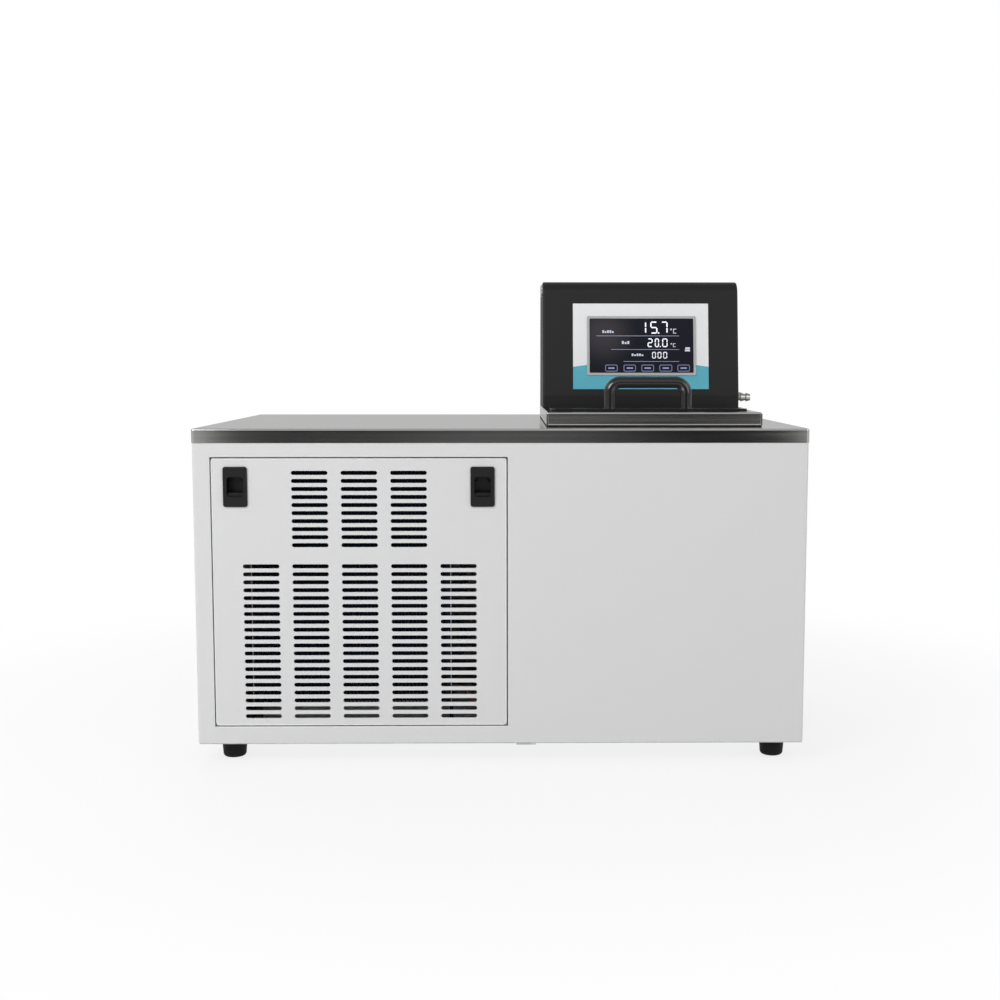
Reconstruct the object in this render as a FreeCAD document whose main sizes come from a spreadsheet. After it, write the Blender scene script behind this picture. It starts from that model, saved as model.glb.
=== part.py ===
import FreeCAD, Part
import math
import os
import Sketcher

# Constant temperature bath: a white floor-standing cabinet with a refrigeration unit behind a slotted panel,
# a stainless worktop with an insulated tank below it, and a black control hood on the tank's cover.
# Millimetres, +Z up, -Y is the front, origin at the bottom centre of the whole object.

Vector = FreeCAD.Vector
os.makedirs("parts", exist_ok=True)
doc = FreeCAD.newDocument("bath")

# Driving sizes
SIZES = {
    # worktop and cabinet
    "worktop_width": 800,
    "worktop_depth": 500,
    "rim_height": 18.6,
    "worktop_sheet": 1.5,
    "rim_corner": 4,
    "rim_bend": 2.5,
    "cabinet_inset": 0.8,
    "cabinet_height": 397.4,
    "cabinet_sheet": 1.2,
    "cabinet_bend": 3,
    "top_flange": 22,
    "pan_sheet": 1.5,
    "pan_upstand": 18,
    "pan_lip_inset": 1.2,
    "pan_tab_width": 26,
    "pan_tab_drop": 2,
    "joint_gap": 0.3,
    # rubber feet
    "foot_height": 26.5,
    "foot_top_radius": 17,
    "foot_tip_radius": 15,
    "foot_from_side": 38,
    "foot_from_front": 40,
    "foot_shift": 3,
    "foot_round": 4.5,
    "foot_tread_radius": 8,
    "foot_tread_height": 0.8,
    "foot_hole_radius": 4,
    "foot_screw_recess": 8,
    "foot_shank": 6,
    # opening for the louvre panel
    "opening_from_side": 22.5,
    "opening_width": 385.4,
    "opening_from_bottom": 23.6,
    "opening_height": 355.6,
    "opening_lip": 8,
    "panel_gap": 1.8,
    "panel_fold": 12,
    "panel_corner": 2,
    "panel_edge": 1.1,
    # louvre slots
    "slot_length": 47.3,
    "slot_height": 5.4,
    "slot_columns_upper": 3,
    "slot_columns_lower": 5,
    "slot_rows_upper": 10,
    "slot_rows_lower": 20,
    "slot_column_pitch": 64.2,
    "slot_row_pitch": 10.47,
    "slots_below_top": 18.7,
    "lower_slots_below_top": 140.7,
    # flush latches
    "latch_width": 31.4,
    "latch_height": 52.2,
    "latch_from_side": 15.2,
    "latch_from_top": 10.7,
    "latch_proud": 2.5,
    "latch_lip": 2,
    "latch_depth": 19,
    "latch_window_width": 21.3,
    "latch_window_height": 26.1,
    "latch_face": 2.2,
    "latch_wall": 2.2,
    "latch_corner": 3.2,
    "latch_window_corner": 4,
    "latch_travel": 8,
    "bolt_width": 12,
    "bolt_thickness": 3,
    "bolt_engagement": 3.5,
    "slider_gap": 0.4,
    "thumb_height": 6,
    # partition and tank
    "partition_from_opening": 11,
    "partition_flange": 15,
    "line_hole_radius": 9,
    "tank_width": 240,
    "tank_length": 320,
    "tank_depth": 200,
    "tank_sheet": 1.2,
    "tank_corner": 25,
    "tank_floor_bend": 12,
    "tank_flange": 14,
    "tank_front": 70,
    "foam_thickness": 38,
    "cradle_sheet": 2,
    # cover on the tank
    "cover_centre": 203.5,
    "cover_width": 286,
    "cover_front": 47,
    "cover_past_tank": 22,
    "cover_rise": 17.2,
    "cover_sheet": 1.5,
    "cover_bend": 2,
    "gasket_height": 2,
    "gasket_inset": 0.5,
    "gasket_width": 12,
    "lid_width": 270,
    "lid_front": 112,
    "lid_before_hood": 10,
    "lid_sheet": 1.5,
    "lid_skirt": 8,
    "lid_overlap": 9,
    "lid_play": 1,
    "lid_corner": 6,
    "seal_height": 1.2,
    "seal_width": 7,
    # bar handle on the lid
    "handle_pitch": 105.8,
    "handle_radius": 8.2,
    "handle_height": 44,
    "handle_bend": 15,
    "handle_front": 137,
    "handle_screw_radius": 2.5,
    # control hood
    "hood_width": 286,
    "hood_past_tank": 2,
    "hood_depth": 160,
    "hood_height": 184,
    "hood_skirt": 17,
    "hood_lean": 9,
    "hood_bend": 20,
    "hood_sheet": 2,
    "hood_corner": 2.5,
    "hood_gasket_height": 1,
    "label_width": 198,
    "label_height": 126,
    "label_thickness": 0.8,
    "label_corner": 0.8,
    "label_from_bend": 9.3,
    "bezel_width": 159,
    "bezel_height": 87,
    "bezel_thickness": 1.6,
    "bezel_frame": 3.5,
    "bezel_corner": 1.5,
    "bezel_above_label": 20.2,
    "bezel_shift": 1,
    "screen_thickness": 3,
    "screen_sink": 0.5,
    "board_gap": 8,
    "board_thickness": 1.6,
    "post_radius": 3,
    "button_radius": 9,
    "button_cap_radius": 6.5,
    "button_collar": 2,
    "button_barrel_radius": 7.9,
    "button_barrel_length": 20,
    "button_travel": 2,
    "button_below_top": 12.5,
    "button_behind_front": 48,
    "nozzle_radius": 5,
    "nozzle_barb_radius": 6.6,
    "nozzle_bore_radius": 3.5,
    "nozzle_reach": 28,
    "nozzle_height": 14,
    "nozzle_behind_front": 68,
    "nozzle_pitch": 60,
    "nozzle_flange_radius": 9,
    # circulation pump and what hangs in the bath
    "motor_radius": 34,
    "motor_height": 88,
    "motor_behind_front": 92,
    "motor_left_of_centre": 45,
    "motor_lift": 12,
    "shaft_radius": 4,
    "shaft_gap": 0.05,
    "pump_depth": 130,
    "pump_radius": 30,
    "pump_height": 26,
    "pump_wall": 2.5,
    "pump_post_radius": 4,
    "impeller_radius": 24,
    "tube_radius": 5,
    "return_drop": 90,
    "heater_radius": 4,
    "heater_drop": 165,
    "probe_radius": 3,
    "probe_length": 140,
    "coil_radius": 4,
    "coil_pitch": 26,
    "coil_from_wall": 9,
    # refrigeration unit
    "condenser_width": 264,
    "condenser_height": 312,
    "condenser_depth": 56,
    "condenser_front": 34,
    "condenser_raise": 46,
    "condenser_left": 68,
    "fin_pitch": 5,
    "fin_thickness": 1,
    "fin_relief": 10,
    "end_plate": 2,
    "return_bend_radius": 4,
    "return_bend_pitch": 44,
    "shroud_sheet": 1.5,
    "shroud_depth": 30,
    "fan_radius": 105,
    "fan_tip_gap": 5,
    "fan_hub_radius": 22,
    "fan_blade_depth": 20,
    "fan_motor_radius": 38,
    "fan_motor_length": 52,
    "fan_arm": 10,
    "compressor_radius": 66,
    "compressor_height": 158,
    "compressor_from_left": 105,
    "compressor_from_back": 105,
    "grommet_height": 14,
    "grommet_radius": 9,
    "drier_radius": 13,
    "drier_length": 80,
    "drier_from_front": 250,
    "line_radius": 4,
    "thin_line_radius": 3,
    # rear of the cabinet
    "rear_fold": 10,
    "vent_length": 120,
    "vent_height": 6,
    "vent_rows": 9,
    "vent_columns": 2,
    "hood_vent_rows": 5,
    "hood_vent_columns": 1,
    "vent_pitch": 18,
    "inlet_width": 48,
    "inlet_height": 28,
    "inlet_depth": 30,
    "rear_screw_radius": 4,
    "screw_head_height": 2,
    # drain
    "drain_height": 110,
    "drain_from_right": 130,
    "drain_radius": 7,
    "valve_radius": 12,
    "valve_length": 30,
    "spout_radius": 6.5,
    "spout_length": 26,
    "spout_bore_radius": 4.5,
    "lever_length": 52,
    "lever_thickness": 2.5,
    "lever_width": 11,
    "stem_radius": 4,
}

sheet = doc.addObject("Spreadsheet::Sheet", "Sizes")
for row, (alias, number) in enumerate(SIZES.items(), start=1):
    sheet.set("A%d" % row, alias)
    sheet.set("B%d" % row, str(number))
    sheet.setAlias("B%d" % row, alias)
doc.recompute()


class Size:
    """A number together with the sheet formula that it comes from."""

    def __init__(self, number, formula):
        self.number = float(number)
        self.formula = formula

    def __add__(self, other):
        other = size(other)
        return Size(self.number + other.number, "(%s + %s)" % (self.formula, other.formula))

    def __sub__(self, other):
        other = size(other)
        return Size(self.number - other.number, "(%s - %s)" % (self.formula, other.formula))

    def __mul__(self, other):
        other = size(other)
        return Size(self.number * other.number, "%s * %s" % (self.formula, other.formula))

    def __truediv__(self, other):
        other = size(other)
        return Size(self.number / other.number, "%s / %s" % (self.formula, other.formula))

    def __radd__(self, other):
        return size(other) + self

    def __rsub__(self, other):
        return size(other) - self

    def __rmul__(self, other):
        return size(other) * self

    def __neg__(self):
        return Size(-self.number, "(0 - %s)" % self.formula)


def size(value):
    return value if isinstance(value, Size) else Size(value, repr(float(value)))


def number(value):
    return value.number if isinstance(value, Size) else float(value)


def cell(alias):
    return Size(getattr(sheet, alias), "Sizes." + alias)


def tangent(angle):
    return Size(math.tan(math.radians(angle.number)), "tan(%s * 1 deg)" % angle.formula)


def bind(thing, prop, value):
    """Set a property from a size, and tie it to the sheet where the size comes from there."""
    if prop.startswith("Placement."):
        thing.setExpression(prop, size(value).formula)
        return
    setattr(thing, prop, number(value))
    if isinstance(value, Size):
        thing.setExpression(prop, value.formula)


# Every driving size by its own name
class Named:
    pass


S = Named()
for alias in SIZES:
    setattr(S, alias, cell(alias))

TURNS = {
    "Z": FreeCAD.Rotation(),
    "X": FreeCAD.Rotation(Vector(0, 1, 0), 90),
    "Y": FreeCAD.Rotation(Vector(1, 0, 0), -90),
}
pieces = {}


def place(thing, x, y, z, along="Z"):
    thing.Placement = FreeCAD.Placement(Vector(number(x), number(y), number(z)), TURNS[along])
    bind(thing, "Placement.Base.x", x)
    bind(thing, "Placement.Base.y", y)
    bind(thing, "Placement.Base.z", z)
    return thing


def block(name, x0, x1, y0, y1, z0, z1):
    box = doc.addObject("Part::Box", name)
    bind(box, "Length", x1 - x0)
    bind(box, "Width", y1 - y0)
    bind(box, "Height", z1 - z0)
    return place(box, x0, y0, z0)


def rod(name, radius, length, x, y, z, along="Z"):
    cylinder = doc.addObject("Part::Cylinder", name)
    bind(cylinder, "Radius", radius)
    bind(cylinder, "Height", length)
    return place(cylinder, x, y, z, along)


def fuse(name, *parts):
    joined = doc.addObject("Part::MultiFuse", name)
    joined.Shapes = list(parts)
    joined.Refine = True
    return joined


def cut(name, base, *tools):
    made = doc.addObject("Part::Cut", name)
    made.Base = base
    made.Tool = tools[0] if len(tools) == 1 else fuse(name + "_tools", *tools)
    made.Refine = True
    return made


def keep(name, thing):
    """Give a finished sub-part its label, which names its file."""
    thing.Label = name
    pieces[name] = thing
    return thing


class Piece:
    """A sub-part built as sketches and features in one body."""

    PLANES = {"floor": "XY_Plane", "front": "XZ_Plane", "side": "YZ_Plane"}
    # A front sketch faces -Y, so its features run the other way along the axis
    FORWARD = {"floor": 1, "front": -1, "side": 1}

    def __init__(self, name):
        self.name = name
        self.count = 0
        self.body = doc.addObject("PartDesign::Body", name + "_body")

    def new(self, kind, word):
        self.count += 1
        return self.body.newObject(kind, "%s_%s_%d" % (self.name, word, self.count))

    def sketch(self, plane, offset):
        made = self.new("Sketcher::SketchObject", "sketch")
        role = self.PLANES[plane]
        support = next(f for f in self.body.Origin.OriginFeatures if f.Role == role)
        made.AttachmentSupport = [(support, "")]
        made.MapMode = "FlatFace"
        made.setExpression("AttachmentOffset.Base.z", (size(offset) * self.FORWARD[plane]).formula)
        return made

    @staticmethod
    def fix(made, kind, where, value):
        index = made.addConstraint(Sketcher.Constraint(kind, *where, number(value)))
        if isinstance(value, Size):
            made.setExpression("Constraints[%d]" % index, value.formula)

    def at(self, made, geometry, point, u, v):
        self.fix(made, "DistanceX", (geometry, point), u)
        self.fix(made, "DistanceY", (geometry, point), v)

    def outline(self, plane, offset, points, made=None):
        made = made or self.sketch(plane, offset)
        first = made.GeometryCount
        total = len(points)
        for k in range(total):
            start, end = points[k], points[(k + 1) % total]
            line = Part.LineSegment(Vector(number(start[0]), number(start[1]), 0),
                                    Vector(number(end[0]), number(end[1]), 0))
            made.addGeometry(line, False)
        for k in range(total):
            follow = first + (k + 1) % total
            made.addConstraint(Sketcher.Constraint("Coincident", first + k, 2, follow, 1))
        for k, (u, v) in enumerate(points):
            self.at(made, first + k, 1, u, v)
        return made

    def rectangle(self, plane, offset, u0, u1, v0, v1, made=None):
        return self.outline(plane, offset, [(u0, v0), (u1, v0), (u1, v1), (u0, v1)], made)

    def rounded(self, plane, offset, u0, u1, v0, v1, radius):
        """A rectangle with round corners."""
        made = self.sketch(plane, offset)
        left, right, low, high, r = number(u0), number(u1), number(v0), number(v1), number(radius)
        corners = [(right - r, low + r, -90), (right - r, high - r, 0), (left + r, high - r, 90),
                   (left + r, low + r, 180)]
        sides = [((left + r, low), (right - r, low)), ((right, low + r), (right, high - r)),
                 ((right - r, high), (left + r, high)), ((left, high - r), (left, low + r))]
        for (start, end), (u, v, angle) in zip(sides, corners):
            made.addGeometry(Part.LineSegment(Vector(*start, 0), Vector(*end, 0)), False)
            circle = Part.Circle(Vector(u, v, 0), Vector(0, 0, 1), r)
            made.addGeometry(Part.ArcOfCircle(circle, math.radians(angle), math.radians(angle + 90)), False)
        for k in range(4):
            line, arc, follow = 2 * k, 2 * k + 1, (2 * k + 2) % 8
            made.addConstraint(Sketcher.Constraint("Tangent", line, 2, arc, 1))
            made.addConstraint(Sketcher.Constraint("Tangent", arc, 2, follow, 1))
            made.addConstraint(Sketcher.Constraint("Horizontal" if k % 2 == 0 else "Vertical", line))
        for arc in (3, 5, 7):
            made.addConstraint(Sketcher.Constraint("Equal", 1, arc))
        self.fix(made, "Radius", (1,), radius)
        self.fix(made, "DistanceY", (0, 1), v0)
        self.fix(made, "DistanceX", (2, 1), u1)
        self.fix(made, "DistanceY", (4, 1), v1)
        self.fix(made, "DistanceX", (6, 1), u0)
        return made

    def long_slot(self, plane, offset, u, v, length, height):
        """A horizontal slot with round ends, centred on (u, v)."""
        made = self.sketch(plane, offset)
        r = number(height) / 2
        reach = number(length) / 2 - r
        cu, cv = number(u), number(v)
        up = Vector(0, 0, 1)
        low, high = (Vector(cu - reach, cv - r, 0), Vector(cu + reach, cv + r, 0))
        made.addGeometry(Part.LineSegment(low, Vector(high.x, low.y, 0)), False)
        right = Part.Circle(Vector(cu + reach, cv, 0), up, r)
        made.addGeometry(Part.ArcOfCircle(right, -math.pi / 2, math.pi / 2), False)
        made.addGeometry(Part.LineSegment(high, Vector(low.x, high.y, 0)), False)
        left = Part.Circle(Vector(cu - reach, cv, 0), up, r)
        made.addGeometry(Part.ArcOfCircle(left, math.pi / 2, 3 * math.pi / 2), False)
        for k in range(4):
            made.addConstraint(Sketcher.Constraint("Tangent", k, 2, (k + 1) % 4, 1))
        made.addConstraint(Sketcher.Constraint("Horizontal", 0))
        made.addConstraint(Sketcher.Constraint("Equal", 1, 3))
        self.fix(made, "Radius", (1,), height / 2)
        self.at(made, 1, 3, u + length / 2 - height / 2, v)
        self.fix(made, "DistanceX", (3, 3), u - length / 2 + height / 2)
        return made

    def circle(self, plane, offset, u, v, radius, made=None):
        made = made or self.sketch(plane, offset)
        circle = Part.Circle(Vector(number(u), number(v), 0), Vector(0, 0, 1), number(radius))
        index = made.addGeometry(circle, False)
        self.fix(made, "Radius", (index,), radius)
        self.at(made, index, 3, u, v)
        return made

    def runs_forward(self, made):
        return self.FORWARD[next(k for k, role in self.PLANES.items()
                                 if made.AttachmentSupport[0][0].Role == role)] > 0

    def pad(self, made, length, towards=1):
        feature = self.new("PartDesign::Pad", "pad")
        feature.Profile = made
        bind(feature, "Length", length)
        feature.Reversed = self.runs_forward(made) != (towards > 0)
        return feature

    def pocket(self, made, length, towards=1):
        feature = self.new("PartDesign::Pocket", "pocket")
        feature.Profile = made
        bind(feature, "Length", length)
        feature.Reversed = self.runs_forward(made) == (towards > 0)
        return feature

    def turn(self, made, axis="V_Axis"):
        feature = self.new("PartDesign::Revolution", "turned")
        feature.Profile = made
        feature.ReferenceAxis = (made, [axis])
        feature.Angle = 360
        return feature

    def grid(self, feature, made, columns, column_pitch, rows, row_pitch):
        """Repeat a feature across and then downwards."""
        both = self.new("PartDesign::MultiTransform", "grid")
        both.Originals = [feature]
        steps = []
        for axis, count, pitch in (("H_Axis", columns, column_pitch), ("V_Axis", rows, row_pitch)):
            step = self.new("PartDesign::LinearPattern", "row")
            step.Direction = (made, [axis])
            step.Reversed = axis == "V_Axis"
            bind(step, "Length", pitch * (count - 1))
            step.Occurrences = int(round(count.number))
            step.setExpression("Occurrences", count.formula)
            steps.append(step)
        both.Transformations = steps
        self.body.Tip = both
        return both

    def edges(self, test):
        doc.recompute()
        shape = self.body.Tip.Shape
        return ["Edge%d" % k for k, edge in enumerate(shape.Edges, start=1) if test(edge)]

    def soften(self, test, radius, kind="Fillet"):
        """Round or bevel the edges that pass a test."""
        names = self.edges(test)
        base = self.body.Tip
        feature = self.new("PartDesign::" + kind, kind.lower())
        feature.Base = (base, names)
        bind(feature, "Radius" if kind == "Fillet" else "Size", radius)
        return feature

    def hollow(self, test, wall):
        """Shell the solid inwards, leaving the faces that pass a test open."""
        doc.recompute()
        base = self.body.Tip
        names = ["Face%d" % k for k, face in enumerate(base.Shape.Faces, start=1) if test(face)]
        feature = self.new("PartDesign::Thickness", "shell")
        feature.Base = (base, names)
        bind(feature, "Value", wall)
        feature.Reversed = True
        feature.Join = "Intersection"
        return feature

    def done(self, x=0, y=0, z=0, label=None, turned=None):
        place(self.body, size(x), size(y), size(z))
        if turned:
            self.body.Placement = FreeCAD.Placement(self.body.Placement.Base, turned)
        return keep(label or self.name, self.body)


def runs_along(edge, axis):
    box = edge.BoundBox
    spans = {"X": box.XLength, "Y": box.YLength, "Z": box.ZLength}
    return spans[axis] > 1e-3 and all(span < 1e-6 for key, span in spans.items() if key != axis)


def upright(edge):
    return runs_along(edge, "Z")


def near(value, target, slack=0.01):
    return abs(value - number(target)) < slack


def tube(name, points, radius, bend):
    """A round bar or pipe along straight runs joined by tangent arcs."""
    corners = [Vector(*[number(c) for c in point]) for point in points]
    edges = []
    start = corners[0]
    for before, corner, after in zip(corners, corners[1:], corners[2:]):
        into = (corner - before).normalize()
        out = (after - corner).normalize()
        turn = into.getAngle(out)
        back_off = number(bend) * math.tan(turn / 2)
        first = corner - into * back_off
        last = corner + out * back_off
        middle = corner + (out - into).normalize() * number(bend) * (1 / math.cos(turn / 2) - 1)
        if (first - start).Length > 1e-4:
            edges.append(Part.LineSegment(start, first).toShape())
        edges.append(Part.Arc(first, middle, last).toShape())
        start = last
    edges.append(Part.LineSegment(start, corners[-1]).toShape())
    path = Part.Wire(edges)
    ring = Part.Wire(Part.makeCircle(number(radius), corners[0], corners[1] - corners[0]))
    made = doc.addObject("Part::Feature", name)
    made.Shape = path.makePipeShell([ring], True, False)
    return made


# Places worked out from the driving sizes
half_width = S.worktop_width / 2
latch_reach = S.latch_proud - S.cabinet_inset
valve_reach = S.valve_length + S.spout_length
rear_reach = valve_reach - S.cabinet_inset
front = latch_reach - (S.worktop_depth + rear_reach + latch_reach) / 2
back = front + S.worktop_depth
rim_bottom = S.foot_height + S.cabinet_height
deck = rim_bottom + S.rim_height
side = half_width - S.cabinet_inset
face = front + S.cabinet_inset
rear = back - S.cabinet_inset
pan_top = S.foot_height + S.pan_sheet
inner_side = side - S.cabinet_sheet

opening_left = S.opening_from_side - side
opening_right = opening_left + S.opening_width
opening_bottom = S.foot_height + S.opening_from_bottom
opening_top = opening_bottom + S.opening_height
panel_left = opening_left + S.panel_gap
panel_right = opening_right - S.panel_gap
panel_bottom = opening_bottom + S.panel_gap
panel_top = opening_top - S.panel_gap
panel_middle = (panel_left + panel_right) / 2
lip_front = face + S.panel_fold + S.joint_gap
lip_back = lip_front + S.cabinet_sheet
partition_x = opening_right + S.partition_from_opening

cover_left = S.cover_centre - S.cover_width / 2
cover_right = S.cover_centre + S.cover_width / 2
cover_bottom = deck + S.gasket_height
cover_top = cover_bottom + S.cover_rise
cover_under = cover_top - S.cover_sheet
cover_y = front + S.cover_front
tank_left = S.cover_centre - S.tank_width / 2
tank_right = S.cover_centre + S.tank_width / 2
tank_y0 = front + S.tank_front
tank_y1 = tank_y0 + S.tank_length
tank_top = deck - S.worktop_sheet
tank_floor = tank_top - S.tank_depth
hood_left = S.cover_centre - S.hood_width / 2
hood_right = S.cover_centre + S.hood_width / 2
hood_back_y = tank_y1 + S.hood_past_tank
hood_y = hood_back_y - S.hood_depth
cover_back_y = tank_y1 + S.cover_past_tank
lid_y = front + S.lid_front
lid_back_y = hood_y - S.lid_before_hood
hood_bottom = cover_top + S.hood_gasket_height
hood_top = cover_top + S.hood_height
lean_start = hood_bottom + S.hood_skirt


# Cabinet

def make_base_pan():
    pan = Piece("base_pan")
    wide = side - S.pan_lip_inset
    lip = S.pan_lip_inset
    pan.pad(pan.rectangle("floor", S.foot_height, -wide, wide, face + lip, rear - lip), S.pan_sheet)
    outer = inner_side - S.joint_gap
    wall = S.pan_sheet
    low, high = face + S.cabinet_sheet + S.joint_gap, rear - S.cabinet_sheet - S.joint_gap
    ring = pan.rectangle("floor", pan_top, -outer, outer, low, high)
    pan.rectangle("floor", pan_top, wall - outer, outer - wall, low + wall, high - wall, ring)
    pan.pad(ring, S.pan_upstand)
    # A tab turned down below the partition
    pan.pad(pan.rectangle("floor", S.foot_height, partition_x, partition_x + S.pan_tab_width, face + lip,
                          face + lip + wall), S.pan_tab_drop, -1)
    holes = pan.sketch("floor", S.foot_height)
    for x, y in foot_places().values():
        pan.circle("floor", S.foot_height, x, y, S.foot_hole_radius, holes)
    pan.pocket(holes, S.pan_sheet)
    pan.done()


def foot_places():
    """The middle of each foot, by its name."""
    reach = half_width - S.foot_from_side
    columns = {"left": S.foot_shift - reach, "right": S.foot_shift + reach}
    rows = {"front": front + S.foot_from_front, "rear": back - S.foot_from_front}
    return {"foot_%s_%s" % (row, column): (x, y) for row, y in rows.items() for column, x in columns.items()}


def make_feet():
    """Tapered rubber feet with a round lower edge, a small tread, and a shank through the pan."""
    shank = S.foot_hole_radius - S.joint_gap
    top, tread = S.foot_height, S.foot_tread_height
    for name, (x, y) in foot_places().items():
        foot = Piece(name)
        foot.turn(foot.outline("front", 0, [
            (0, S.foot_screw_recess), (S.foot_hole_radius, S.foot_screw_recess), (S.foot_hole_radius, 0),
            (S.foot_tread_radius, 0), (S.foot_tread_radius, tread), (S.foot_tip_radius, tread),
            (S.foot_top_radius, top), (shank, top), (shank, top + S.foot_shank), (0, top + S.foot_shank)]))
        foot.soften(lambda e: near(e.BoundBox.ZMax, tread) and near(e.BoundBox.XMax, S.foot_tip_radius, 0.1),
                    S.foot_round)
        foot.done(x, y, 0)


def make_cabinet_shell():
    """Front and sides folded from one sheet, with a top frame and a rebate for the louvre panel."""
    shell = Piece("cabinet_shell")
    bottom = pan_top
    height = rim_bottom - bottom
    shell.pad(shell.rectangle("floor", bottom, -side, side, face, rear), height)
    shell.soften(lambda e: upright(e) and near(e.CenterOfMass.y, face), S.cabinet_bend)
    shell.pocket(shell.rectangle("floor", bottom, -inner_side, inner_side, face + S.cabinet_sheet, rear + 1),
                 height - S.cabinet_sheet)
    shell.pocket(shell.rectangle("floor", rim_bottom + 1, S.top_flange - side, side - S.top_flange,
                                 face + S.top_flange, rear - S.top_flange), S.cabinet_sheet + 2, -1)
    wall = S.cabinet_sheet
    shell.pad(shell.rectangle("front", face + wall, opening_left - wall, opening_right + wall,
                              opening_bottom - wall, opening_top + wall), lip_back - face - wall)
    shell.pocket(shell.rectangle("front", face - 1, opening_left, opening_right, opening_bottom, opening_top),
                 lip_front - face + 1)
    lip = S.opening_lip
    shell.pocket(shell.rectangle("front", lip_front - 1, opening_left + lip, opening_right - lip,
                                 opening_bottom + lip, opening_top - lip), wall + 2)
    shell.done()


def make_rear_panel():
    panel = Piece("rear_panel")
    wide = inner_side - S.joint_gap
    bottom = pan_top + S.joint_gap
    top = rim_bottom - S.cabinet_sheet - S.joint_gap
    wall = S.cabinet_sheet
    inner = rear - wall
    panel.pad(panel.rectangle("front", rear, -wide, wide, bottom, top), wall, -1)
    folds = panel.rectangle("front", inner, -wide, wide, bottom + S.pan_upstand + 4, top)
    panel.rectangle("front", inner, wall - wide, wide - wall, bottom + S.pan_upstand + 5, top - wall, folds)
    panel.pad(folds, S.rear_fold, -1)
    vents_x = (panel_middle - S.vent_length * 0.6)
    first = panel.long_slot("front", inner - 1, vents_x, panel_top - 40, S.vent_length, S.vent_height)
    slot = panel.pocket(first, wall + 2)
    panel.grid(slot, first, S.vent_columns, S.vent_length * 1.2, S.vent_rows, S.vent_pitch)
    inlet_x = half_width - S.drain_from_right * 2
    inlet_z = S.drain_height
    reach = S.inlet_width / 2 - 4
    rise = S.inlet_height / 2 - 2
    hole = panel.rectangle("front", inner - 1, inlet_x - reach, inlet_x + reach, inlet_z - rise, inlet_z + rise)
    panel.circle("front", inner - 1, half_width - S.drain_from_right, S.drain_height,
                 S.drain_radius + S.joint_gap, hole)
    panel.pocket(hole, wall + 2)
    panel.done()


def make_louvre_panel():
    """Removable front panel: a folded tray with two groups of round-ended slots."""
    panel = Piece("louvre_panel")
    wall = S.cabinet_sheet
    panel.pad(panel.rectangle("front", face, panel_left, panel_right, panel_bottom, panel_top), S.panel_fold)
    panel.soften(lambda e: runs_along(e, "Y"), S.panel_corner)
    panel.soften(lambda e: near(e.BoundBox.YMax, face), S.panel_edge)
    panel.pocket(panel.rectangle("front", face + wall, panel_left + wall, panel_right - wall,
                                 panel_bottom + wall, panel_top - wall), S.panel_fold)
    windows = panel.sketch("front", face - 1)
    for x in latch_middles():
        half = S.latch_width / 2 - S.latch_lip
        low = latch_middle_z - S.latch_height / 2 + S.latch_lip
        high = low + S.latch_height - S.latch_lip * 2
        panel.rectangle("front", face - 1, x - half, x + half, low, high, windows)
    panel.pocket(windows, wall + 2)
    upper_left = panel_middle - S.slot_column_pitch * (S.slot_columns_upper - 1) / 2
    lower_left = panel_middle - S.slot_column_pitch * (S.slot_columns_lower - 1) / 2
    for x, below, columns, rows in ((upper_left, S.slots_below_top, S.slot_columns_upper, S.slot_rows_upper),
                                    (lower_left, S.lower_slots_below_top, S.slot_columns_lower,
                                     S.slot_rows_lower)):
        first = panel.long_slot("front", face - 1, x, panel_top - below, S.slot_length, S.slot_height)
        slot = panel.pocket(first, wall + 2)
        panel.grid(slot, first, columns, S.slot_column_pitch, rows, S.slot_row_pitch)
    panel.done()


latch_middle_z = panel_top - S.latch_from_top - S.latch_height / 2


def latch_middles():
    reach = S.latch_from_side + S.latch_width / 2
    return panel_left + reach, panel_right - reach


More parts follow.
